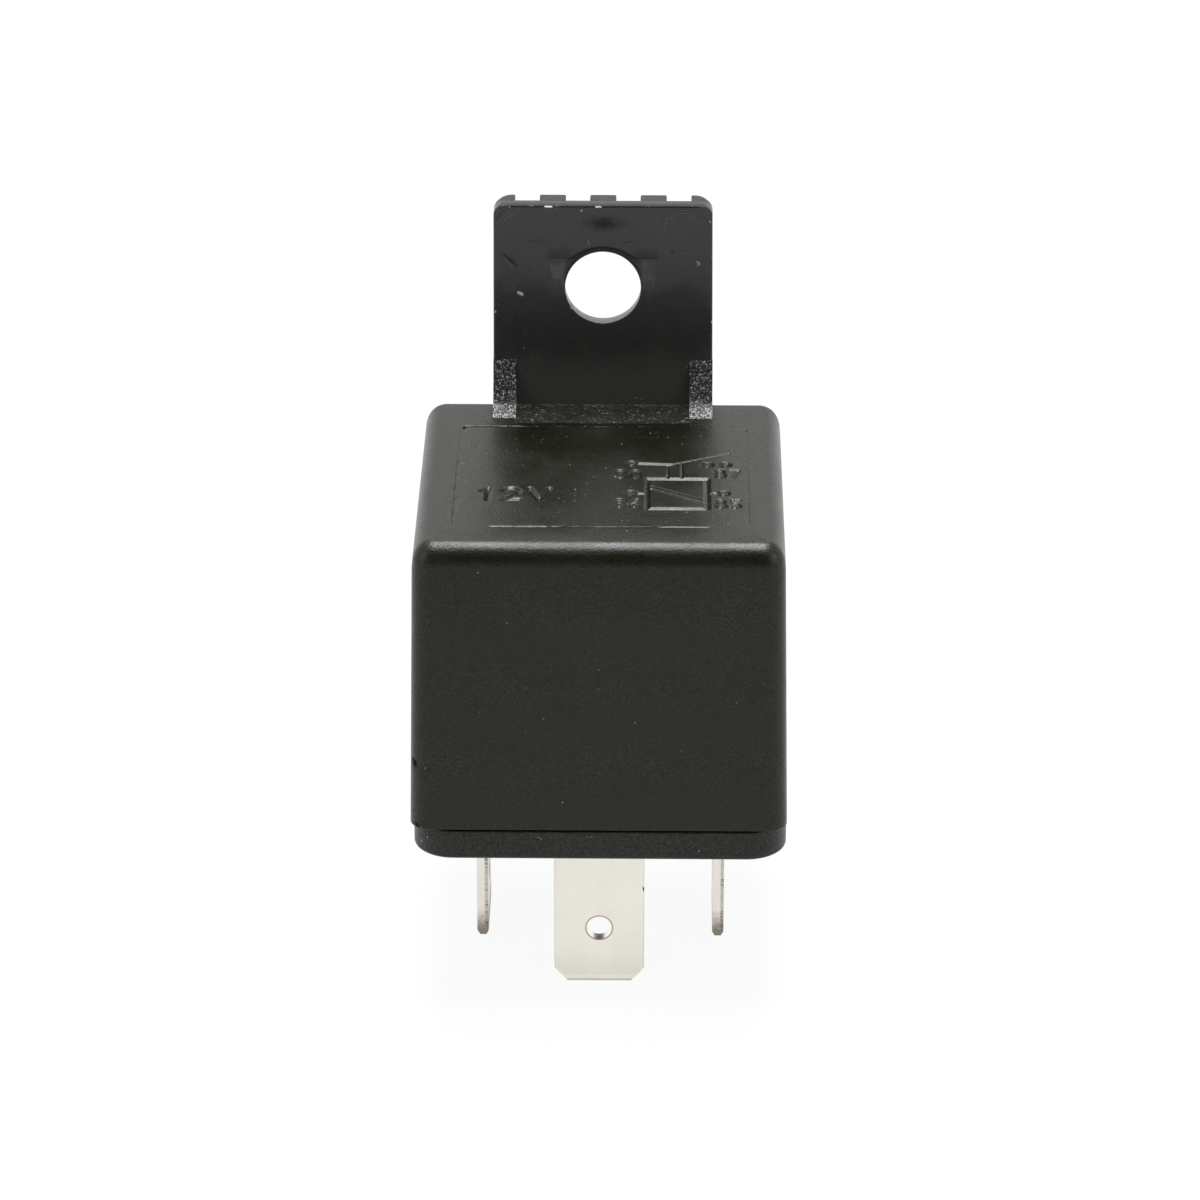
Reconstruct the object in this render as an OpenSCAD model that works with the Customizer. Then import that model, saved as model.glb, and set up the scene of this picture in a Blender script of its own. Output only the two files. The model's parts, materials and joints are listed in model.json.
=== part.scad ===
// Four-blade automotive relay with one normally open contact and a moulded fixing tab.
// The origin lies on the upright centreline, in the plane of the blade tips.
// X runs across the front, Y from the front to the fixing tab, Z up.
// The armature is drawn at rest, held open by its spring.

/* [Cover] */
// Width of the cover at its rim
cover_w = 26; // [21.5:0.1:32]
// Depth of the cover at its rim
cover_d = 26.5; // [26.2:0.1:32]
// Height of the cover from its rim to its top
cover_h = 21.25; // [17.5:0.05:26]
// Thickness of the side walls
wall = 1.1; // [0.8:0.05:1.3]
// Thickness of the top
roof = 1.15; // [0.9:0.05:1.4]
// Draft of the side walls, in degrees
draft = 1; // [0.5:0.1:1.5]
// Radius of the upright corners
corner_r = 1.4; // [1.3:0.1:2.5]
// Radius of the edge round the top
edge_r = 1.3; // [0.4:0.1:1.3]
// Diameter of the broken-off moulding gate on the left side
gate_d = 1; // [0.6:0.1:1.4]

/* [Fixing tab] */
// Width of the tab where it leaves the cover
tab_w = 15.6; // [13:0.1:19]
// Narrowing of the tab's width over its height
tab_taper = 0.2; // [0:0.05:1]
// Height of the tab above the cover
tab_h = 15.15; // [12.5:0.05:18.5]
// Thickness of the tab's front plate
tab_t = 1.1; // [0.9:0.05:1.2]
// How far the tab's front stands in from the back edge of the top
tab_inset = 1.3; // [1.2:0.05:1.5]
// Radius of the tab's top corners
tab_corner_r = 0.75; // [0.3:0.05:1.5]
// Diameter of the fixing hole
hole_d = 5.4; // [4.5:0.1:6.5]
// Height of the fixing hole above the cover
hole_h = 9; // [7.5:0.1:10.8]
// Side of the square washer seat round the hole, on the ribbed side
seat_w = 9; // [8:0.1:10]
// Depth of the ribs on the back of the tab
rib_depth = 1.1; // [0.6:0.05:1.4]
// Width of the three middle ribs
rib_w = 1.85; // [1.2:0.05:2.2]
// Distance between the middle ribs
rib_pitch = 3.55; // [3.2:0.05:3.7]
// Width of the two end ribs
end_rib_w = 1.6; // [1.2:0.05:1.9]
// Width of each corner gusset
gusset_w = 1.65; // [1:0.05:2.5]
// Height of each corner gusset
gusset_h = 3.5; // [2:0.1:5]
// Depth of each corner gusset
gusset_d = 2.6; // [1.5:0.1:4]

/* [Base] */
// Thickness of the base's flange
flange_t = 2.2; // [1.8:0.1:2.8]
// Seam between the flange and the cover's rim
seam = 0.12; // [0.05:0.01:0.3]
// How far the flange stands in from the cover's rim, on each side
flange_inset = 0.1; // [0:0.01:0.4]
// Radius of the flange's corners
flange_corner_r = 2.8; // [1.5:0.1:4]
// Bevel round the flange's lower edge
flange_bevel = 0.3; // [0.1:0.05:0.6]
// Height of the plug that enters the cover
plug_h = 1; // [0.8:0.1:1.5]
// Gap between the plug and the cover
plug_gap = 0.06; // [0.03:0.01:0.15]

/* [Blades] */
// Length of the blades below the base
blade_len = 11.8; // [9:0.1:14.5]
// Width of a blade
blade_w = 6.3; // [4.8:0.1:6.6]
// Thickness of a blade
blade_t = 0.8; // [0.6:0.05:1]
// Diameter of the detent hole in a blade
detent_d = 1.8; // [1.4:0.1:2.2]
// Height of the detent hole above the tip
detent_h = 4.3; // [3.3:0.1:5.2]
// Width of the corner cut from a blade's tip
tip_cut_w = 0.92; // [0.5:0.01:1.3]
// Height of the corner cut from a blade's tip
tip_cut_h = 1.15; // [0.6:0.01:1.6]
// Distance between the two coil blades
coil_pitch = 16.8; // [16.2:0.1:17.4]
// Distance between the two load blades
load_pitch = 17.4; // [16.8:0.1:17.8]
// Width of a blade's shank above its shoulders
shank_w = 4.4; // [3.6:0.1:4.8]

/* [Magnet] */
// Thickness of the yoke
yoke_t = 1.5; // [1.2:0.05:1.8]
// Width of the yoke
yoke_w = 11; // [9.2:0.1:13.2]
// Diameter of the core in the coil
core_d = 5.2; // [4.2:0.1:6.2]
// Diameter of the pole face
pole_d = 8; // [6.8:0.1:9.6]
// Thickness of the pole face
pole_t = 0.9; // [0.7:0.05:1.1]
// Diameter of the bobbin's flanges
flange_d = 14.2; // [13.2:0.1:14.6]
// Thickness of the bobbin's flanges
bobbin_flange_t = 0.9; // [0.7:0.05:1.1]
// Wall of the bobbin's barrel
barrel_wall = 0.75; // [0.5:0.05:1]
// Outer diameter of the winding
winding_d = 12; // [10.4:0.1:12.4]
// Thickness of the tape round the winding
tape_t = 0.1; // [0.05:0.01:0.15]
// Diameter of the coil wire's ends
lead_d = 0.25; // [0.2:0.01:0.28]

/* [Armature and contacts] */
// Thickness of the armature
armature_t = 1.4; // [1.1:0.05:1.7]
// Width of the armature
armature_w = 10.4; // [8.7:0.1:11]
// Angle that the armature opens, in degrees
open_angle = 3.4; // [2.8:0.1:4]
// Thickness of the contact spring
spring_t = 0.25; // [0.2:0.01:0.3]
// Width of the contact spring
spring_w = 8.6; // [7.2:0.1:9.4]
// Width of the spring's tongue at the contact
tongue_w = 4.6; // [4:0.1:5.4]
// Diameter of the contacts
contact_d = 2.8; // [2.4:0.1:3.2]
// Height of each contact's head
contact_head = 0.6; // [0.5:0.05:0.7]
// Thickness of the rest stop's strip
stop_t = 0.5; // [0.4:0.05:0.6]

/* [Hidden] */

$fn = 64;
eps = 0.01;
hull_fn = 32;

// Heights, from the blade tips up
flange_top = blade_len + flange_t;
rim_z = flange_top + seam;
top_z = rim_z + cover_h;
floor_z = flange_top + plug_h;
shoulder_z = blade_len + 1.2;
roof_z = top_z - roof;
slope = tan(draft);
foot_z = floor_z + blade_t;
foot_top = foot_z + yoke_t;

// Inside faces of the cover, at the roof, where the draft leaves the least room
room_w = cover_w / 2 - cover_h * slope - wall;
room_d = cover_d / 2 - cover_h * slope - wall;
back_edge_y = room_d + wall;

// Fixing tab
tab_y = back_edge_y - tab_inset;
tab_back_y = tab_y + tab_t;
crest_y = tab_back_y + rib_depth;
hole_z = top_z + hole_h;

// Magnet: the pole face lies as high as the moving pieces above it allow
rivet_head_h = 0.35;
rivet_r = 0.8;
peen_h = 0.3;
air = 0.05;
pivot_y = room_d - 1.65;
yoke_back = room_d - 1.15;
yoke_front = yoke_back - yoke_t;
flange_gap = 0.3;
coil_y = yoke_front - flange_gap - flange_d / 2;
contact_y = -load_pitch / 2 + 1.8;
lift = (pivot_y - contact_y) * sin(open_angle);
stop_gap = 0.08;
stop_clear = 0.9;
pole_z = roof_z - stop_clear - stop_t - stop_gap - peen_h - lift - spring_t - armature_t - air;
armature_top = pole_z + air + armature_t;
stop_z = armature_top + spring_t + peen_h + lift + stop_gap;
bobbin_top = pole_z - pole_t;
armature_front = coil_y - pole_d / 2 - 2.6;
armature_rivet_y = yoke_front - 1.9;
armature_rivet_x = 2.8;

// Contacts: the fixed one meets the moving one when the armature lies on the pole
contact_z = armature_top - contact_head - air;
pad_top = contact_z - contact_head;
contact_shank_r = 0.75;
fit = 0.02;

// Spring: bent over the back of the armature, then down the back of the yoke
spring_bend_r = 0.7;
bend_y = yoke_back - spring_bend_r;
bend_z = pole_z + (armature_top - spring_bend_r - pole_z - (bend_y - pivot_y) * sin(open_angle))
         / cos(open_angle);
spring_leg = 9;
spring_rivet_x = 2.6;
spring_rivet_z = pole_z - 6.4;

// Coil terminals: a hook at the top of each shank grips the end of the wire
hook_w = 3.2;
hook_gap = lead_d + 0.05;
hook_t = 0.5;
hook_top = foot_top + bobbin_flange_t + 1.6;
hook_z = hook_top - 1.3;
winding_z = foot_top + bobbin_flange_t;

// ---------- shapes that repeat ----------

// Rectangle with true round corners
module rounded_rect(w, d, r) {
    square([w - 2 * r, d], center = true);
    square([w, d - 2 * r], center = true);
    for (x = [-1, 1], y = [-1, 1])
        translate([x * (w / 2 - r), y * (d / 2 - r)]) circle(r);
}

// Upright box from its lower centre
module block(w, d, h) {
    translate([-w / 2, -d / 2, 0]) cube([w, d, h]);
}

// A profile drawn in Y and Z, given a width along X
module across(w) {
    translate([-w / 2, 0, 0]) rotate([90, 0, 90]) linear_extrude(w) children();
}

// Round wire through a list of points
module wire(points, d) {
    for (i = [0 : len(points) - 2]) {
        run = points[i + 1] - points[i];
        translate(points[i]) rotate([0, acos(run.z / norm(run)), atan2(run.y, run.x)])
            cylinder(d = d, h = norm(run), $fn = 24);
    }
    for (p = points) translate(p) sphere(d = 1.04 * d, $fn = 24);
}

// Turns what belongs to the armature from its closed place to its place at rest
module at_rest() {
    translate([0, pivot_y, pole_z]) rotate([-open_angle, 0, 0])
        translate([0, -pivot_y, -pole_z]) children();
}

// ---------- cover ----------

// Drafted box with round upright corners and a round edge on top
module cover_outside() {
    quarter = [for (a = [0 : 90 / 8 : 90]) [corner_r - edge_r + edge_r * cos(a), edge_r * sin(a)]];
    lean = cover_h * slope;
    translate([0, 0, rim_z]) hull() for (x = [-1, 1], y = [-1, 1]) {
        translate([x * (cover_w / 2 - corner_r), y * (cover_d / 2 - corner_r), 0])
            cylinder(r = corner_r, h = eps, $fn = hull_fn);
        translate([x * (cover_w / 2 - lean - corner_r), y * (cover_d / 2 - lean - corner_r),
                   cover_h - edge_r])
            rotate_extrude($fn = hull_fn) polygon(concat([[0, 0]], quarter, [[0, edge_r]]));
    }
}

// Space inside the cover
module cover_room() {
    inner_r = 0.8;
    hull() for (x = [-1, 1], y = [-1, 1]) {
        translate([x * (cover_w / 2 - wall - inner_r), y * (cover_d / 2 - wall - inner_r), rim_z - eps])
            cylinder(r = inner_r, h = eps, $fn = hull_fn);
        translate([x * (room_w - inner_r), y * (room_d - inner_r), roof_z - eps])
            cylinder(r = inner_r, h = eps, $fn = hull_fn);
    }
}

// The tab seen from the front, continued down to the rim for the ribs
module tab_front_view() {
    top_half = (tab_w - tab_taper) / 2;
    z1 = tab_h - tab_corner_r;
    polygon([[-tab_w / 2, -cover_h], [tab_w / 2, -cover_h], [tab_w / 2, 0], [top_half, z1],
             [-top_half, z1], [-tab_w / 2, 0]]);
    translate([-(top_half - tab_corner_r), z1 - eps])
        square([2 * (top_half - tab_corner_r), tab_corner_r + eps]);
    for (x = [-1, 1]) translate([x * (top_half - tab_corner_r), z1]) circle(tab_corner_r);
}

// The tab's outline given a thickness between two places in Y
module tab_slab(y0, y1) {
    translate([0, y1, top_z]) rotate([90, 0, 0]) linear_extrude(y1 - y0) tab_front_view();
}

// One rib in plan; the end ribs have a round outer corner
module rib_plan(x0, x1, outer) {
    r = rib_depth * 0.8;
    start = tab_back_y - 0.1;
    translate([x0, start]) square([x1 - x0, crest_y - r - start]);
    translate([outer < 0 ? x0 + r : x0, start])
        square([x1 - x0 - (outer == 0 ? 0 : r), crest_y - start]);
    if (outer != 0) translate([outer < 0 ? x0 + r : x1 - r, crest_y - r]) intersection() {
        circle(r);
        translate([outer < 0 ? -r : 0, 0]) square(r);
    }
}

module ribs() {
    edge = tab_w / 2;
    difference() {
        intersection() {
            translate([0, 0, rim_z]) linear_extrude(cover_h + tab_h) {
                for (x = [-rib_pitch, 0, rib_pitch]) rib_plan(x - rib_w / 2, x + rib_w / 2, 0);
                rib_plan(-edge, -edge + end_rib_w, -1);
                rib_plan(edge - end_rib_w, edge, 1);
            }
            tab_slab(tab_y, crest_y + 1);
        }
        translate([-seat_w / 2, tab_back_y, hole_z - seat_w / 2]) cube([seat_w, 5, seat_w]);
    }
}

// Corner gusset with a hollow front
module gusset() {
    across(gusset_w) difference() {
        translate([-gusset_d, -eps]) square([gusset_d + eps, gusset_h]);
        translate([-gusset_d, gusset_h]) scale([gusset_d, gusset_h]) circle(1);
    }
}

module cover() {
    gate_y = -cover_d / 2 + 1.9;
    gate_z = rim_z + 5.3;
    gate_x = -cover_w / 2 + (gate_z - rim_z) * slope;
    bead_z = flange_top + plug_h / 2;
    color("#2c2b29") difference() {
        union() {
            difference() {
                cover_outside();
                cover_room();
            }
            intersection() {
                tab_slab(tab_y, tab_back_y);
                translate([0, 0, roof_z + eps]) block(2 * cover_w, 4 * cover_d, cover_h + tab_h);
            }
            ribs();
            for (x = [-1, 1])
                translate([x * (tab_w - gusset_w) / 2, tab_y, top_z]) gusset();
        }
        translate([0, crest_y + 1, hole_z]) rotate([90, 0, 0]) cylinder(d = hole_d, h = 5);
        translate([gate_x - eps, gate_y, gate_z]) rotate([0, 90, 0]) cylinder(d = gate_d, h = 0.12);
        for (x = [-1, 1]) translate([x * (cover_w / 2 - wall), 0, bead_z])
            rotate([0, 45, 0]) block_centred(0.42, bead_len + 0.4, 0.42);
    }
}

// ---------- base ----------

bead_len = 8;

module block_centred(w, d, h) {
    translate([-w / 2, -d / 2, -h / 2]) cube([w, d, h]);
}

// Stepped slot: wide below for the blade, narrow above for its shank
module blade_slot() {
    gap = 0.06;
    translate([0, 0, blade_len - eps])
        block(blade_w + gap, blade_t + gap, shoulder_z - blade_len + 0.03);
    translate([0, 0, blade_len]) block(shank_w + gap, blade_t + gap, flange_t + plug_h + 3);
}

// Puts a blade-shaped thing at each of the four places
module at_87() { translate([0, -load_pitch / 2, 0]) children(); }
module at_30() { translate([0, load_pitch / 2, 0]) rotate([0, 0, 90]) children(); }
module at_coil(side) { translate([side * coil_pitch / 2, 0, 0]) rotate([0, 0, 90]) children(); }

module flange() {
    w = cover_w - 2 * flange_inset;
    d = cover_d - 2 * flange_inset;
    translate([0, 0, blade_len + flange_bevel])
        linear_extrude(flange_t - flange_bevel) rounded_rect(w, d, flange_corner_r);
    translate([0, 0, blade_len]) hull() for (x = [-1, 1], y = [-1, 1])
        translate([x * (w / 2 - flange_corner_r), y * (d / 2 - flange_corner_r), 0])
            cylinder(r1 = flange_corner_r - flange_bevel, r2 = flange_corner_r,
                     h = flange_bevel + eps, $fn = hull_fn);
}

prong_x = yoke_w / 2 - 1.6;
prong_y = coil_y - core_d / 2 - 1.8;
prong_w = 1.6;
prong_len = 1.9;
stop_y = -room_d + 0.45;
stop_w = 4;

module base() {
    plug_w = 2 * (cover_w / 2 - wall - plug_gap);
    plug_d = 2 * (cover_d / 2 - wall - plug_gap);
    lean = (plug_h + seam) * slope;
    bead_z = flange_top + plug_h / 2;
    color("#262523") difference() {
        union() {
            flange();
            translate([0, 0, flange_top - eps]) linear_extrude(plug_h + eps)
                rounded_rect(plug_w - 2 * lean, plug_d - 2 * lean, 1);
            for (x = [-1, 1]) {
                translate([x * (plug_w / 2 - lean), 0, bead_z]) rotate([0, 45, 0])
                    block_centred(0.36, bead_len, 0.36);
                translate([x * (yoke_w / 2 - 1.5), coil_y + 3, floor_z - eps])
                    block(2, 2.4, blade_t + eps);
            }
        }
        at_87() blade_slot();
        at_30() blade_slot();
        for (side = [-1, 1]) at_coil(side) blade_slot();
        translate([0, stop_y + stop_t / 2, shoulder_z]) block(stop_w + 0.04, stop_t + 0.04, 5);
        for (x = [-1, 1]) translate([x * prong_x, prong_y + yoke_t / 2, foot_z - prong_len - 0.1])
            block(prong_w + 0.04, yoke_t + 0.04, prong_len + 1);
    }
}

// ---------- blades and terminals ----------

// Blade and shank, upright and centred, tip down: cut corners, coined tip, detent hole
module blade(shank_top) {
    tip = tip_cut_h / 2;
    tip_t = blade_t * 0.55;
    difference() {
        intersection() {
            translate([0, blade_t / 2, 0]) rotate([90, 0, 0]) linear_extrude(blade_t)
                polygon([[-blade_w / 2 + tip_cut_w, 0], [blade_w / 2 - tip_cut_w, 0],
                         [blade_w / 2, tip_cut_h], [blade_w / 2, shoulder_z],
                         [shank_w / 2, shoulder_z], [shank_w / 2, shank_top],
                         [-shank_w / 2, shank_top], [-shank_w / 2, shoulder_z],
                         [-blade_w / 2, shoulder_z], [-blade_w / 2, tip_cut_h]]);
            across(blade_w) polygon([[-tip_t / 2, 0], [tip_t / 2, 0], [blade_t / 2, tip],
                                     [blade_t / 2, shank_top], [-blade_t / 2, shank_top],
                                     [-blade_t / 2, tip]]);
        }
        translate([0, blade_t, detent_h]) rotate([90, 0, 0])
            cylinder(d = detent_d, h = 2 * blade_t);
    }
}

// Quarter bend of a strip in a Y and Z profile: upright below, then along +Y
module elbow(r, t) {
    intersection() {
        difference() {
            circle(r + t);
            circle(r);
        }
        translate([-r - t, 0]) square(r + t);
    }
}

// Load blade with a bent top that carries the fixed contact
module terminal_87() {
    r = 0.3;
    z0 = pad_top - blade_t - r;
    pad_end = contact_y + contact_d / 2 + 0.1;
    y0 = -load_pitch / 2 - blade_t / 2;
    color("#d9d5c8") difference() {
        union() {
            at_87() blade(z0);
            across(shank_w) {
                translate([y0 + blade_t + r, z0]) elbow(r, blade_t);
                translate([y0 + blade_t + r - eps, pad_top - blade_t])
                    square([pad_end - y0 - blade_t - r + eps, blade_t]);
            }
        }
        translate([0, contact_y, pad_top - 2 * blade_t])
            cylinder(r = contact_shank_r + fit, h = 3 * blade_t);
    }
}

// Load blade with a foot welded under the yoke
module terminal_30() {
    foot_len = yoke_w / 2 - 0.3;
    y0 = load_pitch / 2 - shank_w / 2;
    color("#d9d5c8") {
        at_30() blade(foot_z);
        translate([-blade_t / 2, y0, foot_z - blade_t]) cube([foot_len, shank_w, blade_t]);
    }
}

// Coil blade; its shank ends in a hook folded over the wire
module coil_terminal(side) {
    inner = coil_pitch / 2 - blade_t / 2;
    outer = coil_pitch / 2 + blade_t / 2;
    color("#d9d5c8") {
        difference() {
            at_coil(side) blade(hook_top - hook_t);
            for (y = [-1, 1]) translate([side * coil_pitch / 2, y * (hook_w / 2 + 2), floor_z + 0.6])
                block(3, 4, 20);
        }
        translate([0, hook_w / 2, 0]) rotate([90, 0, 0]) linear_extrude(hook_w)
            mirror([side < 0 ? 1 : 0, 0]) {
                translate([inner, hook_top - hook_t - eps])
                    square([blade_t + hook_gap + hook_t, hook_t + eps]);
                translate([outer + hook_gap, hook_z]) square([hook_t, hook_top - hook_z]);
            }
    }
}

module terminal_86() { coil_terminal(-1); }
module terminal_85() { coil_terminal(1); }

// Leaf spring's and terminals' contacts are rivets: a domed head, a shank and a peened end
module contact_rivet(through) {
    dome = contact_head / 6;
    rotate_extrude() polygon([[0, -contact_head], [contact_d * 0.36, -contact_head],
                              [contact_d / 2, -contact_head + dome], [contact_d / 2, 0],
                              [contact_shank_r, 0], [contact_shank_r, through],
                              [contact_shank_r + 0.2, through],
                              [contact_shank_r + 0.1, through + peen_h], [0, through + peen_h]]);
}

module fixed_contact() {
    color("#c9c7c1") translate([0, contact_y, pad_top]) mirror([0, 0, 1]) contact_rivet(blade_t);
}

module moving_contact() {
    color("#c9c7c1") at_rest() translate([0, contact_y, armature_top]) contact_rivet(spring_t);
}

// ---------- magnet ----------

module yoke() {
    bend_r = 0.4;
    foot_front = prong_y;
    color("#8f9296") difference() {
        union() {
            across(yoke_w) difference() {
                union() {
                    translate([foot_front, foot_z]) square([yoke_back - foot_front, yoke_t]);
                    translate([yoke_front, foot_z]) square([yoke_t, pole_z - foot_z]);
                    translate([yoke_front - bend_r, foot_top - eps]) square([bend_r + eps, bend_r]);
                }
                translate([yoke_front - bend_r, foot_top + bend_r]) circle(bend_r);
                translate([yoke_back - yoke_t - bend_r, foot_z + yoke_t + bend_r]) difference() {
                    translate([0, -5]) square(5);
                    circle(yoke_t + bend_r);
                    translate([-5, -5]) square([5, 10]);
                    translate([-5, 0]) square([10, 5]);
                }
            }
            for (x = [-1, 1]) translate([x * prong_x, prong_y + yoke_t / 2, foot_z - prong_len])
                block(prong_w, yoke_t, prong_len + eps);
        }
        translate([0, coil_y, foot_z - 1]) cylinder(d = core_d * 0.65 + fit, h = yoke_t + 2);
        for (x = [-1, 1]) translate([x * spring_rivet_x, yoke_back + 1, spring_rivet_z])
            rotate([90, 0, 0]) cylinder(r = rivet_r + fit, h = yoke_t + 2);
    }
}

// Iron core: pole face on top, shaft in the bobbin, lower end riveted under the yoke
module core() {
    shank_r = core_d * 0.325;
    color("#a4a6a8") translate([0, coil_y, 0]) rotate_extrude()
        polygon([[0, foot_z - 0.35], [shank_r + 0.4, foot_z - 0.35], [shank_r + 0.6, foot_z - 0.1],
                 [shank_r + 0.6, foot_z], [shank_r, foot_z], [shank_r, foot_top],
                 [core_d / 2, foot_top], [core_d / 2, bobbin_top], [pole_d / 2, bobbin_top],
                 [pole_d / 2, pole_z - 0.15], [pole_d / 2 - 0.15, pole_z], [0, pole_z]]);
}

// Bobbin: barrel and two flanges, the lower one with a notch for each wire end
module bobbin() {
    bore_r = core_d / 2 + fit;
    barrel_r = core_d / 2 + barrel_wall;
    color("#d8d2bd") translate([0, coil_y, 0]) difference() {
        union() {
            translate([0, 0, foot_top]) cylinder(r = barrel_r, h = bobbin_top - foot_top);
            for (z = [foot_top, bobbin_top - bobbin_flange_t])
                translate([0, 0, z]) cylinder(d = flange_d, h = bobbin_flange_t);
        }
        translate([0, 0, foot_top - 1]) cylinder(r = bore_r, h = bobbin_top);
        for (x = [-1, 1]) translate([x * flange_d / 2, -flange_d / 4, foot_top - 1])
            rotate([0, 0, x * 30]) block(2.4, 0.8, bobbin_flange_t + 2);
    }
}

module coil_winding() {
    barrel_r = core_d / 2 + barrel_wall;
    color("#8a4a22") translate([0, coil_y, winding_z]) difference() {
        cylinder(d = winding_d, h = bobbin_top - bobbin_flange_t - winding_z);
        translate([0, 0, -1]) cylinder(r = barrel_r, h = bobbin_top);
    }
}

// Tape round the winding, short of the flanges
module coil_tape() {
    margin = 0.5;
    color("#c9a23c") translate([0, coil_y, winding_z + margin]) difference() {
        cylinder(d = winding_d + 2 * tape_t, h = bobbin_top - bobbin_flange_t - winding_z - 2 * margin);
        translate([0, 0, -1]) cylinder(d = winding_d, h = bobbin_top);
    }
}

// End of the coil wire, from the foot of the winding into the terminal's hook
module coil_lead(side) {
    z0 = winding_z + 0.1 + lead_d / 2;
    a = -30;
    r = winding_d / 2 + lead_d / 2 + 0.01;
    grip_x = coil_pitch / 2 + blade_t / 2 + hook_gap / 2;
    grip_z = (hook_z + hook_top) / 2 - 0.2;
    color("#a8622e") wire([[side * r * cos(a), coil_y + r * sin(a), z0],
                           [side * (grip_x - 0.6), -hook_w / 2 - 0.5, z0 + 0.1],
                           [side * grip_x, -hook_w / 2 - 0.2, grip_z],
                           [side * grip_x, hook_w / 2 + 0.2, grip_z]], lead_d);
}

module coil_lead_start() { coil_lead(-1); }
module coil_lead_end() { coil_lead(1); }

// ---------- moving pieces ----------

// Clapper plate, drawn closed and turned to rest; its top rear edge is bevelled
module armature() {
    front_r = 1.6;
    bevel = 0.32;
    z0 = pole_z + air;
    color("#9a9da0") at_rest() difference() {
        intersection() {
            translate([0, 0, z0]) linear_extrude(armature_t) {
                translate([0, (armature_front + pivot_y) / 2])
                    rounded_rect(armature_w, pivot_y - armature_front, front_r);
                translate([-armature_w / 2, pivot_y - 3]) square([armature_w, 3]);
            }
            across(armature_w + 2)
                polygon([[armature_front, z0], [pivot_y, z0], [pivot_y, armature_top - bevel],
                         [pivot_y - bevel, armature_top], [armature_front, armature_top]]);
        }
        for (x = [-1, 1]) translate([x * armature_rivet_x, armature_rivet_y, z0 - 1])
            cylinder(r = rivet_r + fit, h = armature_t + 2);
    }
}

// Leaf spring: riveted to the armature, bent over it and riveted down the back of the yoke
module contact_spring() {
    sweep = 90 - open_angle;
    tongue_end = contact_y - contact_d / 2 - 0.6;
    flat_end = armature_front + 0.6;
    color("#c99a4b") {
        at_rest() translate([0, 0, armature_top]) difference() {
            linear_extrude(spring_t) {
                translate([-spring_w / 2, flat_end]) square([spring_w, spring_end_y - flat_end]);
                translate([-tongue_w / 2, tongue_end + tongue_w / 2])
                    square([tongue_w, flat_end - tongue_end - tongue_w / 2 + eps]);
                translate([0, tongue_end + tongue_w / 2]) circle(tongue_w / 2);
            }
            translate([0, contact_y, -1]) cylinder(r = contact_shank_r + fit, h = 3);
            for (x = [-1, 1]) translate([x * armature_rivet_x, armature_rivet_y, -1])
                cylinder(r = rivet_r + fit, h = 3);
        }
        translate([-spring_w / 2, bend_y, bend_z]) rotate([90, 0, 90])
            linear_extrude(spring_w) intersection() {
                difference() {
                    circle(spring_bend_r + spring_t);
                    circle(spring_bend_r);
                }
                polygon([[0, 0], [3, 0], [3, 3], [3 * cos(sweep), 3 * sin(sweep)]]);
            }
        difference() {
            translate([-spring_w / 2, yoke_back, pole_z - spring_leg])
                cube([spring_w, spring_t, bend_z - pole_z + spring_leg + eps]);
            for (x = [-1, 1]) translate([x * spring_rivet_x, yoke_back + 1, spring_rivet_z])
                rotate([90, 0, 0]) cylinder(r = rivet_r + fit, h = 3);
        }
    }
}

// Where the flat of the spring runs into its bend, measured along the closed armature
spring_end_y = pivot_y + (bend_y - pivot_y) * cos(open_angle) - (bend_z - pole_z) * sin(open_angle);

module rivet(grip, head_below) {
    translate([0, 0, -head_below]) cylinder(r = rivet_r + 0.4, h = head_below);
    cylinder(r = rivet_r, h = grip);
    translate([0, 0, grip]) cylinder(r = rivet_r + 0.6, h = rivet_head_h);
}

module armature_rivets() {
    color("#b9bbbd") at_rest() for (x = [-1, 1])
        translate([x * armature_rivet_x, armature_rivet_y, pole_z + air])
            rivet(armature_t + spring_t, rivet_head_h);
}

// Rivets through the yoke and the spring; their front ends are flush so the coil clears them
module spring_rivets() {
    color("#b9bbbd") for (x = [-1, 1])
        translate([x * spring_rivet_x, yoke_front, spring_rivet_z]) rotate([-90, 0, 0]) {
            cylinder(r = rivet_r, h = yoke_t + spring_t);
            translate([0, 0, yoke_t + spring_t]) cylinder(r = rivet_r + 0.6, h = rivet_head_h);
        }
}

// Strip that stops the spring's tongue when the relay is at rest
module rest_stop() {
    r = 0.4;
    z0 = stop_z - r;
    color("#b7babd") across(stop_w) {
        translate([stop_y, shoulder_z + 0.1]) square([stop_t, z0 - shoulder_z - 0.1]);
        translate([stop_y + stop_t + r, z0]) elbow(r, stop_t);
        translate([stop_y + stop_t + r - eps, stop_z])
            square([contact_y + 0.6 - stop_y - stop_t - r + eps, stop_t]);
    }
}

cover();
base();
terminal_30();
terminal_85();
terminal_86();
terminal_87();
yoke();
core();
bobbin();
coil_winding();
coil_tape();
coil_lead_start();
coil_lead_end();
armature();
contact_spring();
moving_contact();
fixed_contact();
armature_rivets();
spring_rivets();
rest_stop();
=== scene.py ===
import json
import math

import bmesh
import bpy
import numpy as np
from mathutils import Matrix, Vector


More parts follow.
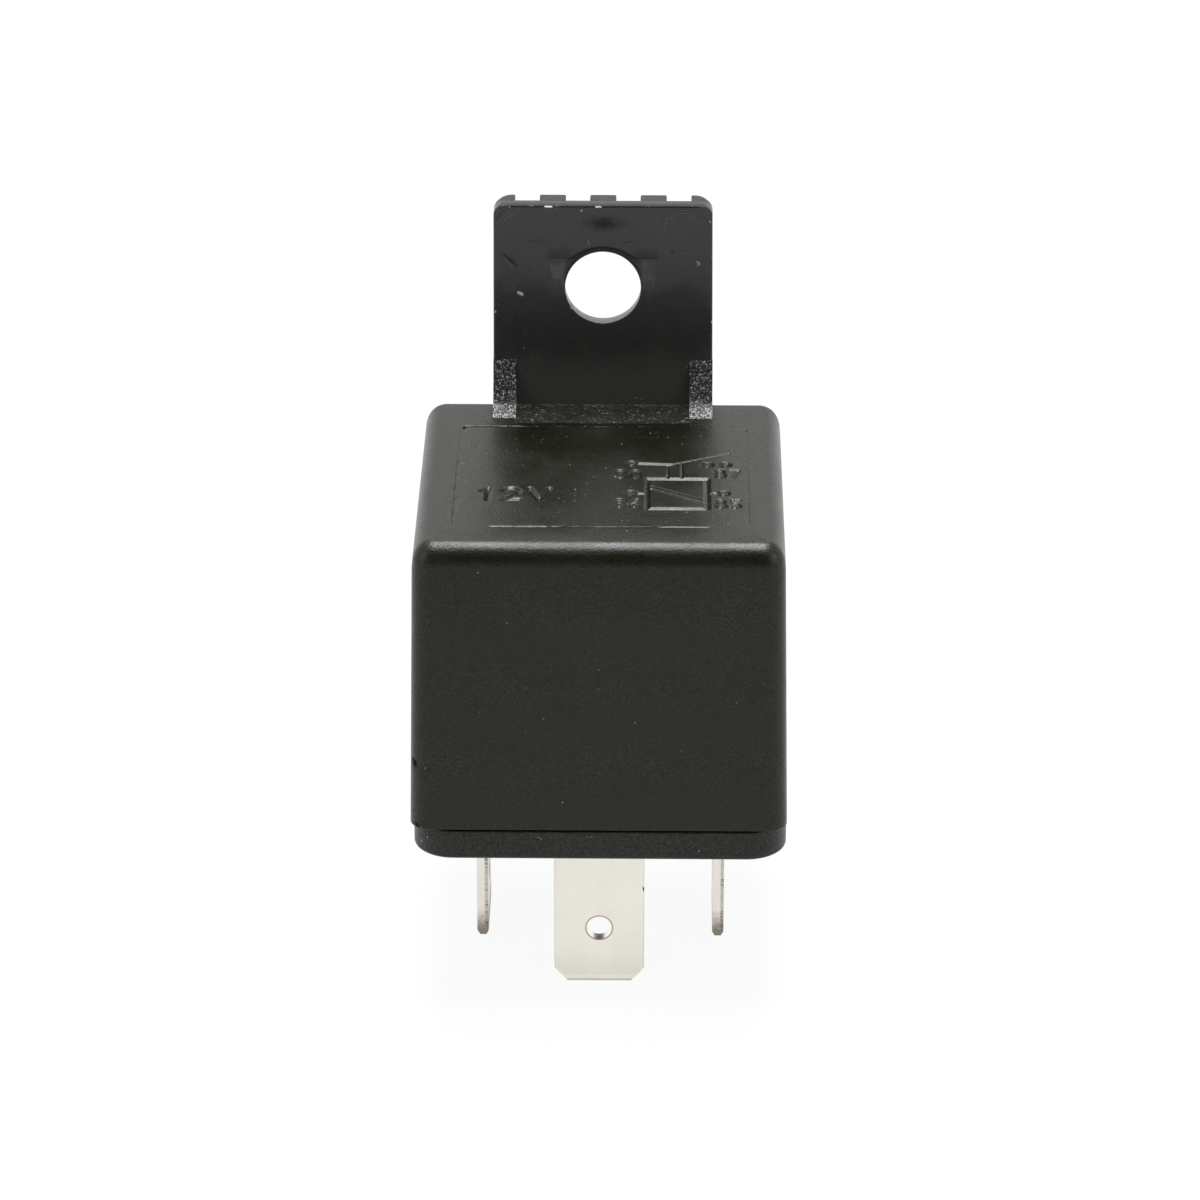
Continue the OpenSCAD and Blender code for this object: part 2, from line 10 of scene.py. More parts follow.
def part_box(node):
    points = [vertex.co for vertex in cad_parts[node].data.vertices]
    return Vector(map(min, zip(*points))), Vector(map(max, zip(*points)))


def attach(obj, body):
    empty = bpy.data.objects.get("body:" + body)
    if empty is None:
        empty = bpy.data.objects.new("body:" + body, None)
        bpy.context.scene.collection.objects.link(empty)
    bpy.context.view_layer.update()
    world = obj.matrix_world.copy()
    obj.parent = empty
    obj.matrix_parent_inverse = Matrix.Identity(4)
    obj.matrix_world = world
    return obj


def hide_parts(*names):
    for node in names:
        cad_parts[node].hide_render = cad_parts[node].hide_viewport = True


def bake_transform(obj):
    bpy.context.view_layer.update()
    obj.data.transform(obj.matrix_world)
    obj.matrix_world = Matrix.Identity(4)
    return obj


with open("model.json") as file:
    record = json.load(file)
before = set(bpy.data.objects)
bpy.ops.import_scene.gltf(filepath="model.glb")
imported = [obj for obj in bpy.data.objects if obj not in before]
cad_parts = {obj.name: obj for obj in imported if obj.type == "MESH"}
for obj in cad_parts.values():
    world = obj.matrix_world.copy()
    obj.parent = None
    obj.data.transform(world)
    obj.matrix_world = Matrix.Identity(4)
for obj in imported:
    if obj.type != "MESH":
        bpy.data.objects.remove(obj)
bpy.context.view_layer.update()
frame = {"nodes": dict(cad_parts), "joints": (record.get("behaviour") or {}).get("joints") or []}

# ---------------------------------------------------------------- measures, in millimetres

RELAY, CLAPPER = "relay", "clapper"
scene = bpy.context.scene


def node_box(name):
    """A node's lowest and highest corner in millimetres."""
    low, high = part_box(name)
    return np.array(low) * 1000, np.array(high) * 1000


COVER_LOW, COVER_HIGH = node_box("cover")
BASE_LOW, BASE_HIGH = node_box("base")
WINDING_LOW, WINDING_HIGH = node_box("coil_winding")
SPRING_LOW, SPRING_HIGH = node_box("contact_spring")
YOKE_BACK = node_box("yoke")[1][1]
ARMATURE_FRONT = node_box("armature")[0][1]

# Hinge: a point of its axis, and the angle by which the armature stands open at rest
HINGE = frame["joints"][0]
PIVOT = np.array(HINGE["pos_m"]) * 1000
OPEN = math.radians(HINGE["range_deg"][1])

# Cover: outside, draft, walls, roundings, and how far the top falls away at the front
HALF_W = COVER_HIGH[0]
HALF_D = -COVER_LOW[1]
RIM_Z = COVER_LOW[2]
TAB_HEIGHT = 15.15
TOP_Z = COVER_HIGH[2] - TAB_HEIGHT
DRAFT = math.tan(math.radians(1.0))
LEAN = (TOP_Z - RIM_Z) * DRAFT
WALL, ROOF = 1.1, 1.15
CORNER_R, INNER_R, ROOF_R, RIM_R = 1.4, 0.8, 0.6, 0.1
EDGE_IN, EDGE_DOWN = 1.3, 1.75
CROWN, CROWN_RUN = 0.07, 8.0

# Engraved panel in the middle of the top, and the depth of its pocket
PANEL_X, PANEL_Y0, PANEL_Y1, PANEL_DEEP = 10.5, -9.9, 8.1, 0.45

# Fixing tab with its hole, the ribs behind it and the corner gussets before it
RIB_DEPTH, TAB_T = 1.1, 1.1
CREST_Y = COVER_HIGH[1]
TAB_BACK_Y = CREST_Y - RIB_DEPTH
TAB_Y = TAB_BACK_Y - TAB_T
TAB_HALF, TAB_TAPER = 7.8, 0.1
TAB_ROOT = 0.9
TAB_TOP = COVER_HIGH[2] + 0.06
TAB_CORNER_R = 0.75
HOLE_R, HOLE_UP = 2.7, 9.0
HOLE_Z = TOP_Z + HOLE_UP
SEAT = 4.5
RIB_HALF, RIB_PITCH, END_RIB_W = 0.925, 3.55, 1.6
GUSSET_W = 1.65

# Blades: half width, place of the coil blades and of the load blade, and the detent hole
BLADE_HALF, COIL_X, LOAD_Y = 3.15, 8.4, -8.7
DETENT_R, DETENT_Z = 0.9, 4.3

# Base: the flange ends a little below the cover's rim, and its plug reaches into the cover
FLANGE_TOP = RIM_Z - 0.12
FLANGE_CORNER_R, FLANGE_LOW_R, FLANGE_TOP_R = 2.75, 0.3, 0.1
PLUG_GAP, PLUG_UP, PLUG_R = 0.08, 1.0, 1.2


# ---------------------------------------------------------------- surfaces

def grid_faces(rows, cols, wrap_rows, wrap_cols):
    """Quads of a grid of rows by cols points, numbered row by row; either way may wrap."""
    r, c = np.meshgrid(np.arange(rows if wrap_rows else rows - 1),
                       np.arange(cols if wrap_cols else cols - 1), indexing="ij")
    r2, c2 = (r + 1) % rows, (c + 1) % cols
    corners = r * cols + c, r * cols + c2, r2 * cols + c2, r2 * cols + c
    return np.stack(corners, -1).reshape(-1, 4)


def loft(loops, closed=False):
    """Surface through closed loops given as an array (loops, points, 3); its two ends are capped,
    or joined to each other when closed is true. A shell is its points, its quads and its caps."""
    n, m = loops.shape[:2]
    ring = np.arange(m)
    caps = [] if closed else [ring[::-1], ring + (n - 1) * m]
    return loops.reshape(-1, 3), grid_faces(n, m, closed, True), caps


def piece(name, shells, material, body=RELAY, replaces=(), crease=32.0):
    """One mesh object from closed shells given in millimetres, shaded smooth except at creases."""
    points, faces, start = [], [], 0
    for verts, quads, caps in shells:
        points.append(verts)
        faces += (quads + start).tolist() + [(cap + start).tolist() for cap in caps]
        start += len(verts)
    mesh = bpy.data.meshes.new(name)
    mesh.from_pydata((np.concatenate(points) / 1000).tolist(), [], faces)
    work = bmesh.new()
    work.from_mesh(mesh)
    bmesh.ops.recalc_face_normals(work, faces=work.faces)
    work.to_mesh(mesh)
    work.free()
    mesh.polygons.foreach_set("use_smooth", np.ones(len(mesh.polygons), bool))
    mesh.set_sharp_from_angle(angle=math.radians(crease))
    mesh.materials.append(material)
    obj = bpy.data.objects.new(name, mesh)
    scene.collection.objects.link(obj)
    if body:
        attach(obj, body)
    if replaces:
        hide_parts(*replaces)
    return obj


def corner_arc(n, start, stop):
    """Cosines and sines of n + 1 angles from start to stop, in degrees."""
    a = np.radians(np.linspace(start, stop, n + 1))
    return np.cos(a), np.sin(a)


def rounded_loop(half_x, half_y, radius, z, n=12, x0=0.0, y0=0.0):
    """Rectangle with round corners at height z: each corner is a quarter circle about a centre
    that lies one radius in from both sides."""
    c, s = corner_arc(4 * n, 0, 360)
    rows = []
    for k, (sx, sy) in enumerate([(1, 1), (-1, 1), (-1, -1), (1, -1)]):
        part = slice(k * n, (k + 1) * n + 1)
        rows.append(np.stack([x0 + sx * (half_x - radius) + radius * c[part],
                              y0 + sy * (half_y - radius) + radius * s[part],
                              np.full(n + 1, float(z))], -1))
    return np.concatenate(rows)


def round_over(radius, n, start=0, stop=90):
    """Steps (in, up) round a quarter edge: in = radius (1 - cos a), up = radius sin a."""
    c, s = corner_arc(n, start, stop)
    return list(zip(radius * (1 - c), radius * s))


# ---------------------------------------------------------------- cover

# Scars on the front left corner, as (place along the corner in degrees from the side, height,
# half width, half height, depth): the broken gate, a scuff over the seam and a small curl
SCARS = [(38.0, RIM_Z + 4.85, 0.5, 0.56, 0.26), (52.0, RIM_Z + 0.22, 0.4, 0.3, 0.14),
         (35.0, RIM_Z + 1.2, 0.14, 0.14, 0.06)]


def scar(loops):
    """Broken and scuffed spots: within an ellipse on the corner the surface goes in by the depth
    times a slanting wave, 0.45 + 0.55 cos(2 pi (u + v) / 1.7), times 1 - e squared, where u runs
    along the corner, v runs up, and e = 1 on the ellipse's rim."""
    x, y = loops[..., 0] + HALF_W - CORNER_R, loops[..., 1] + HALF_D - CORNER_R
    turn = np.degrees(np.arctan2(-y, -x))
    skin = (x < 0) & (y < 0) & (np.hypot(x, y) > CORNER_R - 0.5)
    moved = loops.copy()
    for where, z, wide, tall, deep in SCARS:
        u = np.radians(turn - where) * CORNER_R / wide
        v = (loops[..., 2] - z) / tall
        e_squared = u ** 2 + v ** 2
        wave = 0.45 + 0.55 * np.cos(2 * math.pi * (u + v) / 1.7)
        dent = np.where(skin & (e_squared < 1), deep * wave * (1 - e_squared), 0.0)
        moved[..., 0] += dent * np.cos(np.radians(turn))
        moved[..., 1] += dent * np.sin(np.radians(turn))
    return moved


def cover_body():
    """Drafted box, open below, with a shallow pocket for the engraved panel: a profile of (inset,
    height, corner radius, share of the crown) is carried round the rectangle. The top falls away
    towards the front by the crown times its share, times how far forward a point lies."""
    n = 40
    levels = [(LEAN + WALL + inward, TOP_Z - ROOF - ROOF_R + up, 0.9 - inward * 0.9, 0)
              for inward, up in reversed(round_over(ROOF_R, 5))]
    levels += [(WALL + 0.02, RIM_Z + 0.3, INNER_R, 0), (WALL, RIM_Z + RIM_R, INNER_R, 0),
               (WALL - RIM_R, RIM_Z, INNER_R, 0), (RIM_R, RIM_Z, CORNER_R - RIM_R, 0)]
    levels += [(inward, RIM_Z + RIM_R + up, CORNER_R - inward, 0)
               for inward, up in round_over(RIM_R, 3, -90, 0)[1:]]
    wall_top = TOP_Z - EDGE_DOWN
    heights = [np.linspace(z - tall * 1.3, z + tall * 1.3, 25) for _, z, _, tall, _ in SCARS]
    heights += [np.linspace(RIM_Z + 0.12, wall_top - 0.3, 5)]
    heights = np.unique(np.concatenate(heights).round(3))
    levels += [((z - RIM_Z) * DRAFT, z, CORNER_R, 0) for z in heights[heights > RIM_Z + 0.11]]
    levels += [(LEAN + inward * EDGE_IN, wall_top + up * EDGE_DOWN,
                CORNER_R - inward * EDGE_IN * 0.85, up) for inward, up in round_over(1.0, 18)]
    loops = np.stack([rounded_loop(HALF_W - i, HALF_D - i, r, z, n) for i, z, r, _ in levels])
    pocket = rounded_loop(PANEL_X, (PANEL_Y1 - PANEL_Y0) / 2, 0.02, TOP_Z, n,
                          0.0, (PANEL_Y1 + PANEL_Y0) / 2)
    blend = np.linspace(0, 1, 6)[1:, None, None]
    top = loops[-1] + (pocket - loops[-1]) * blend
    shares = np.concatenate([[share for _, _, _, share in levels], (1 - blend[:, 0, 0]) ** 2])
    loops = scar(np.concatenate([loops, top]))
    forward = np.clip(-loops[..., 1] / CROWN_RUN, 0, 1)
    loops[..., 2] -= CROWN * shares[:, None] * forward
    return loft(np.concatenate([loops, [pocket - [0, 0, PANEL_DEEP]]]))


def tab_outline(inset):
    """Tab seen from the front, moved in by inset: a little narrower above, round top corners."""
    r = max(TAB_CORNER_R - inset, 0.05)
    c, s = corner_arc(10, 0, 90)
    top_half, foot = TAB_HALF - TAB_TAPER - inset, TAB_HALF - inset
    low = TOP_Z - TAB_ROOT
    right = np.stack([top_half - r + r * c, TAB_TOP - inset - r + r * s], -1)
    left = right[::-1] * [-1, 1]
    return np.concatenate([[[foot, low], [foot, TOP_Z]], right, left,
                           [[-foot, TOP_Z], [-foot, low]]])


def cross(a, b):
    """Cross product of plane vectors, as a number."""
    return a[..., 0] * b[..., 1] - a[..., 1] * b[..., 0]


def cast_rays(outline, centre, angles):
    """Where rays from centre meet a closed outline: the nearest crossing with each of its sides,
    at t = (a x side) / (ray x side) along the ray, where a is the side's start from the centre."""
    side = (np.roll(outline, -1, axis=0) - outline)[None]
    start = (outline - centre)[None]
    ray = np.stack([np.cos(angles), np.sin(angles)], -1)[:, None]
    tiny = 1e-12
    lean = cross(ray, side)
    lean = np.where(np.abs(lean) < tiny, tiny, lean)
    t, u = cross(start, side) / lean, cross(start, ray) / lean
    t = np.where((t > 0) & (u >= -1e-9) & (u <= 1 + 1e-9), t, np.inf)
    return centre + ray[:, 0] * t.min(axis=1)[:, None]


def tab_plate():
    """Plate with a round hole: points on rays from the hole's centre run across the front, round
    the outer edge, back inwards behind and out through the hole, so the grid closes both ways.
    Above the hole the front slopes in from a second circle, which lies a little higher: from the
    hole's centre its radius is rise sin a + root(R squared - (rise cos a) squared)."""
    centre = np.array([0.0, HOLE_Z])
    corners = tab_outline(0.0) - centre
    angles = np.unique(np.concatenate([np.linspace(-math.pi, math.pi, 240, endpoint=False),
                                       np.arctan2(corners[:, 1], corners[:, 0])]).round(6))
    front_edge, back_edge, brim = 0.12, 0.08, 0.05
    nick = 0.11 * np.exp(-((angles + 2.55) / 0.035) ** 2)
    front_r, back_r = HOLE_R - 0.03 + nick, HOLE_R - 0.01
    rise = 0.32
    higher = rise * np.sin(angles) + np.sqrt(HOLE_R ** 2 - (rise * np.cos(angles)) ** 2)
    slope = np.maximum(higher - front_r, 0)
    sunk = TAB_Y + 0.5 * slope

    def outer(inset, y):
        p = cast_rays(tab_outline(inset), centre, angles)
        return np.stack([p[:, 0], np.full(len(p), y), p[:, 1]], -1)

    def inner(radius, y):
        return np.stack([centre[0] + radius * np.cos(angles), y + 0 * angles,
                         centre[1] + radius * np.sin(angles)], -1)

    turn = round_over(brim, 3)
    loops = [outer(front_edge + 0.2, TAB_Y)]
    loops += [outer(front_edge - up, TAB_Y + inward) for inward, up in round_over(front_edge, 4)]
    loops += [outer(inward, TAB_BACK_Y - back_edge + up) for inward, up in round_over(back_edge, 2)]
    loops += [inner(back_r + 0.3, TAB_BACK_Y)]
    loops += [inner(back_r + brim - up, TAB_BACK_Y - inward) for inward, up in turn]
    loops += [inner(front_r + inward, sunk + brim - up) for inward, up in turn]
    loops += [inner(front_r + slope + brim + step, TAB_Y) for step in (0.02, 0.12)]
    return loft(np.stack(loops), closed=True)


def rib(x0, x1, z0, z1, outer=0):
    """Upright bar whose plan is a rectangle with round crest corners; the section is carried up.
    An end rib's outer corner is rounder, and its outer side leans in and turns with the tab's
    top corner: it moves in by R - root(R squared - over squared), over = height in the corner."""
    fine, edge = 0.12, 0.05

    def section(inset, z):
        over = min(max(z - (z1 - TAB_CORNER_R), 0.0), TAB_CORNER_R)
        turn = TAB_CORNER_R - math.sqrt(TAB_CORNER_R ** 2 - over ** 2)
        shift = TAB_TAPER * max(0.0, (z - TOP_Z) / TAB_HEIGHT) + turn
        left_x, right_x = x0 + shift * (outer < 0), x1 - shift * (outer > 0)
        broad = min(0.88, right_x - left_x - 0.25)
        r_left, r_right = (broad if outer < 0 else fine), (broad if outer > 0 else fine)
        cl, sl = corner_arc(6, 180, 90)
        cr, sr = corner_arc(6, 90, 0)
        left = np.stack([left_x + inset + r_left * (1 + cl),
                         CREST_Y - inset - r_left * (1 - sl)], -1)
        right = np.stack([right_x - inset - r_right * (1 - cr),
                          CREST_Y - inset - r_right * (1 - sr)], -1)
        foot_y = TAB_BACK_Y - 0.1
        foot = np.array([[right_x - inset, foot_y], [left_x + inset, foot_y]])
        loop = np.concatenate([left, right, foot])
        return np.column_stack([loop, np.full(len(loop), z)])
    steps = [(0.1, z0), (0.0, z0 + 0.1)]
    if z1 > TOP_Z:
        steps.append((0.0, max(z0 + 0.2, TOP_Z)))
    if outer:
        _, sines = corner_arc(6, 0, 70)
        steps += [(0.0, z1 - TAB_CORNER_R * (1 - s)) for s in sines]
    steps += [(inward, z1 - edge + up) for inward, up in round_over(edge, 3)]
    return loft(np.stack([section(i, z) for i, z in steps]))


# Front of a gusset as (distance in front of the tab, height above the top)
GUSSET_FRONT = [(2.35, 0.0), (2.1, 0.15), (1.75, 0.37), (1.4, 0.6), (1.15, 0.8), (0.95, 1.05),
                (0.75, 1.4), (0.55, 1.85), (0.36, 2.35), (0.17, 2.9), (0.03, 3.5)]


def gusset(side):
    """Corner web: a sloping foot that turns up into a steep, slightly hollow front, which stands
    a little proud of the tab; the section is carried across."""
    ahead, height = np.array(GUSSET_FRONT).T
    run = np.concatenate([[0], np.cumsum(np.hypot(np.diff(ahead), np.diff(height)))])
    even = np.linspace(0, run[-1], 30)
    ahead, height = np.interp(even, run, ahead), np.interp(even, run, height)
    x_in, x_out, edge = TAB_HALF - GUSSET_W, TAB_HALF - 0.01, 0.04

    def section(inset, x):
        front = np.stack([TAB_Y - ahead + inset, TOP_Z + 0.02 + height], -1)
        root, inside = TOP_Z - 0.2, TAB_Y + 0.2
        foot = [TAB_Y - ahead[0] + inset, root]
        back = [[TAB_Y + 0.05, front[-1, 1] + 0.08], [inside, front[-1, 1]], [inside, root]]
        loop = np.concatenate([[foot], front, back])
        return np.column_stack([np.full(len(loop), side * x), loop])
    steps = [(edge - up, x_in + inward) for inward, up in round_over(edge, 3)]
    steps += [(inward, x_out - edge + up) for inward, up in round_over(edge, 3)]
    return loft(np.stack([section(i, x) for i, x in steps]))


def fixing_ribs():
    """Five ribs on the back of the tab and down the cover; three are cut clear round the hole."""
    shells = [rib(-TAB_HALF, -TAB_HALF + END_RIB_W, RIM_Z, TAB_TOP, -1),
              rib(TAB_HALF - END_RIB_W, TAB_HALF, RIM_Z, TAB_TOP, 1)]
    for x in (-RIB_PITCH, 0.0, RIB_PITCH):
        for z0, z1 in ((RIM_Z, HOLE_Z - SEAT), (HOLE_Z + SEAT, TAB_TOP)):
            shells.append(rib(x - RIB_HALF, x + RIB_HALF, z0, z1))
    return shells


# ---------------------------------------------------------------- drawing engraved in the top

def spaced(*runs):
    """Grid lines from runs of (start, stop, step), each run divided evenly."""
    parts = [np.linspace(a, b, max(2, round((b - a) / step) + 1))[:-1] for a, b, step in runs]
    return np.concatenate(parts + [[runs[-1][1]]])


def engrave(depth, xs, ys, stroke):
    """Sinks a stroke into the field of depths: its groove is deep (1 - s / half) at a distance s
    from the path, a V with a slightly round bottom; deeper strokes win where two cross."""
    path, closed, half, deep = stroke
    bottom = 0.02
    ends = np.roll(path, -1, axis=0) if closed else path[1:]
    for k, (a, b) in enumerate(zip(path, ends)):
        low, high = np.minimum(a, b) - half, np.maximum(a, b) + half
        cols = slice(*np.searchsorted(xs, [low[0], high[0]]))
        rows = slice(*np.searchsorted(ys, [low[1], high[1]]))
        x, y = np.meshgrid(xs[cols], ys[rows])
        run = b - a
        t = ((x - a[0]) * run[0] + (y - a[1]) * run[1]) / max(run @ run, 1e-12)
        t = np.clip(t, 0, 1)
        s = np.sqrt((x - a[0] - t * run[0]) ** 2 + (y - a[1] - t * run[1]) ** 2 + bottom ** 2)
        groove = (deep[k] if np.ndim(deep) else deep) * np.maximum(1 - s / half, 0)
        depth[rows, cols] = np.maximum(depth[rows, cols], groove)


def arc_path(cx, cy, rx, ry, start, stop, n=22):
    """Points of an ellipse's arc from start to stop, in degrees."""
    c, s = corner_arc(n, start, stop)
    return np.stack([cx + rx * c, cy + ry * s], -1)


def oval(cx, cy, rx, ry):
    """Closed path round an ellipse, as (path, closed)."""
    return arc_path(cx, cy, rx, ry, 0, 360)[:-1], True


# Strokes of the figures in a box one unit high, as (path, closed): straight runs and arcs
FIGURE_WIDE = 0.6
FIGURES = {
    "0": [oval(0.3, 0.5, 0.28, 0.46)],
    "1": [([[0.02, 0.74], [0.30, 0.96], [0.30, 0.0]], False)],
    "2": [([*arc_path(0.3, 0.68, 0.28, 0.28, 165, -35, 14), [0.04, 0.04], [0.62, 0.04]], False)],
    "3": [([*arc_path(0.27, 0.73, 0.24, 0.23, 150, -80, 14),
            *arc_path(0.27, 0.27, 0.29, 0.24, 80, -150, 14)], False)],
    "5": [([[0.55, 0.96], [0.12, 0.96], [0.08, 0.55],
            *arc_path(0.28, 0.31, 0.29, 0.28, 115, -150, 16)], False)],
    "6": [oval(0.3, 0.29, 0.27, 0.26), (arc_path(0.56, 0.33, 0.53, 0.62, 100, 176, 12), False)],
    "7": [([[0.02, 0.96], [0.58, 0.96], [0.22, 0.0]], False)],
    "8": [oval(0.3, 0.74, 0.22, 0.21), oval(0.3, 0.27, 0.28, 0.24)],
    "V": [([[0.0, 0.96], [0.36, 0.02], [0.72, 0.96]], False)],
}


def figures(text, x, y, tall, wide, half, deep, pitch=0.0):
    """Figures in a row, as strokes; x and y are the lower left corner of the first."""
    return [(np.array(path) * [wide / FIGURE_WIDE, tall] + [x + k * pitch, y], closed, half, deep)
            for k, sign in enumerate(text) for path, closed in FIGURES[sign]]


# Border of the drawing: half sizes, middle, corner radius, half width and full depth of the line
BORDER_HALF, BORDER_MID, BORDER_R = (10.05, 8.585), (0.10, -0.865), 0.7
BORDER_STROKE, BORDER_DEEP = 0.15, 0.065

# Depth of the border's front line, as (x, share of the full depth)
FRONT_BORDER = [(-10.1, 0.3), (-7.6, 0.3), (-7.4, 1), (-3.7, 1), (-3.55, 0), (-3.35, 0),
                (-3.2, 0.9), (-2.85, 0.9), (-2.7, 0), (-1.95, 0), (-1.8, 0.8), (-1.5, 0.8),
                (-1.35, 0), (-0.65, 0), (-0.5, 0.7), (1.0, 0.6), (1.2, 0.2), (1.5, 0.5), (3.3, 0.5),
                (3.5, 0.1), (3.9, 0.1), (4.1, 1), (7.3, 1), (7.5, 0.1), (8.0, 0), (8.2, 0.6),
                (8.5, 0.1), (9.1, 0.1), (9.3, 0.6), (9.6, 0.1)]

# Lines of the circuit, as (half width, depth, points)
WIRES = [(0.24, 0.14, (2.48, 1.32), (4.91, 1.12)), (0.15, 0.08, (4.91, 1.12), (8.89, 3.13)),
         (0.15, 0.08, (4.66, 1.03), (4.66, -1.25)), (0.15, 0.08, (5.64, 1.35), (5.64, -1.25)),
         (0.15, 0.17, (3.55, -2.60), (7.12, -4.92)), (0.15, 0.13, (3.50, -3.07), (7.12, -5.40)),
         (0.2, 0.11, (3.10, -3.85), (2.62, -3.85), (2.40, -3.75)),
         (0.2, 0.11, (7.50, -3.95), (7.80, -3.70), (8.12, -3.70))]
COIL_BOX = [(3.24, -1.33), (7.36, -1.33), (7.36, -6.37), (3.24, -6.37)]
JOINTS = [(2.12, 1.32), (2.08, -3.75), (8.47, -3.75), (7.37, 1.12), (8.62, 1.12)]
PIN_NUMBERS = [("30", 1.92, -0.52), ("87", 8.78, -0.40), ("86", 1.89, -5.45), ("85", 8.80, -5.53)]
VOLTAGE = [("1", -8.16, 0.92, 0.29), ("2", -6.68, 1.1, 0.28), ("V", -4.85, 1.14, 0.27)]


def border_line():
    """Border as a stroke: a rounded rectangle in even steps. Its depth is worn away in waves,
    sums of sines of the way along, each side with its own; the front's comes from the table."""
    border = rounded_loop(*BORDER_HALF, BORDER_R, 0, 6, *BORDER_MID)[:, :2]
    lengths = np.linalg.norm(np.diff(border, axis=0), axis=1)
    along = np.concatenate([[0], np.cumsum(lengths)])
    walk = np.arange(0, along[-1], 0.14)
    x, y = [np.interp(walk, along, border[:, k]) for k in (0, 1)]
    faint = 0.3 + 0.4 * np.sin(1.9 * walk + 0.6) + 0.35 * np.sin(4.3 * walk)
    faint = faint + 0.3 * np.sin(9.1 * walk)
    front = np.interp(x, *np.array(FRONT_BORDER).T) * (0.9 + 0.1 * np.sin(7 * walk))
    left = 0.55 + 0.2 * np.sin(3.1 * walk)
    back = np.where(x < -5.6, 3.4, np.where(x < -4.5, 0.9, np.clip(faint, 0.0, 0.7)))
    pits = 1.3 + 1.3 * np.sin(9 * walk) * np.sin(5.3 * walk)
    right = np.where(y > 0.8, pits, np.clip(faint, 0, 0.4))
    sides = np.where(x < -9.7, left, np.where(y > 7.4, back, right))
    share = np.where(y < -9.2, front, sides)
    return np.stack([x, y], -1), True, BORDER_STROKE, BORDER_DEEP * share


def drawing_strokes():
    """Border, circuit drawing, pin numbers and voltage, as (path, closed, half width, depth)."""
    strokes = [border_line(), (np.array(COIL_BOX), True, 0.27, 0.15)]
    strokes += [(np.array(points), False, half, deep) for half, deep, *points in WIRES]
    strokes += [(*oval(cx, cy, 0.34, 0.34), 0.19, 0.17) for cx, cy in JOINTS]
    for text, cx, cy in PIN_NUMBERS:
        strokes += figures(text, cx - 0.93, cy - 0.72, 1.45, 0.74, 0.18, 0.15, pitch=1.02)
    for text, x, wide, half in VOLTAGE:
        strokes += figures(text, x, -4.98, 2.05, wide, half, 0.2)
    return strokes


def engraved_slab(xs, ys):
    """Part of the top as a field of heights over a grid: height = top less depth of engraving; its
    sides and underside close it."""
    depth = np.zeros((len(ys), len(xs)))
    for stroke in drawing_strokes():
        engrave(depth, xs, ys, stroke)
    x, y = np.meshgrid(xs, ys)
    top = np.stack([x, y, TOP_Z - depth], -1).reshape(-1, 3)
    n, m = depth.shape
    index = np.arange(n * m).reshape(n, m)
    rim = np.concatenate([index[0, :-1], index[:-1, -1], index[-1, :0:-1], index[:0:-1, 0]])
    low = top[rim] * [1, 1, 0] + [0, 0, TOP_Z - PANEL_DEEP]
    below = n * m + np.arange(len(rim))
    sides = np.stack([rim, below, np.roll(below, -1), np.roll(rim, -1)], -1)
    quads = np.concatenate([grid_faces(n, m, False, False), sides])
    return np.concatenate([top, low]), quads, [below[::-1]]


def engraved_panel():
    """Middle of the top in two slabs side by side, each with its grid finest at its drawing."""
    split = 0.7
    left_x = ((-PANEL_X, -10.2, 0.15), (-10.2, -9.7, 0.05), (-9.7, -8.7, 0.25), (-8.7, -3.1, 0.05),
              (-3.1, split, 0.25))
    right_x = ((split, 10.35, 0.038), (10.35, PANEL_X, 0.15))
    left_y = ((-9.25, -5.5, 0.3), (-5.5, -2.3, 0.05), (-2.3, 7.5, 0.35))
    right_y = ((-9.25, -6.7, 0.3), (-6.7, 3.45, 0.042), (3.45, 7.5, 0.3))
    front, back = (PANEL_Y0, -9.65, 0.125), (7.95, PANEL_Y1, 0.15)
    slabs = []
    for across, ahead in ((left_x, left_y), (right_x, right_y)):
        ys = spaced(front, (-9.65, -9.25, 0.05), *ahead, (7.5, 7.95, 0.05), back)
        slabs.append(engraved_slab(spaced(*across), ys))
    return slabs


# ---------------------------------------------------------------- base

def base_flange():
    """Plate with a rounded lower edge and a narrower plug above: a profile of (inset, height,
    corner radius) is carried round the rectangle from the middle of the underside to the top."""
    low, half_w, half_d = BASE_LOW[2], BASE_HIGH[0], BASE_HIGH[1]
    r, edge, brim = FLANGE_CORNER_R, FLANGE_LOW_R, FLANGE_TOP_R
    levels = [(edge + 0.5, low, r - edge - 0.5)]
    levels += [(inward, low + edge + up, r - inward * 0.8)
               for inward, up in round_over(edge, 6, -90, 0)]
    levels += [(0.0, low + edge + 0.15, r), (0.0, FLANGE_TOP - 0.25, r)]
    levels += [(inward, FLANGE_TOP - brim + up, r - inward) for inward, up in round_over(brim, 3)]
    inset = half_w - (HALF_W - WALL - PLUG_GAP)
    levels += [(inset, FLANGE_TOP, PLUG_R), (inset, FLANGE_TOP + PLUG_UP - 0.1, PLUG_R),
               (inset + 0.12, FLANGE_TOP + PLUG_UP, PLUG_R - 0.1)]
    return loft(np.stack([rounded_loop(half_w - i, half_d - i, k, z, 12, 0.08)
                          for i, z, k in levels]))


# ---------------------------------------------------------------- coil and spring

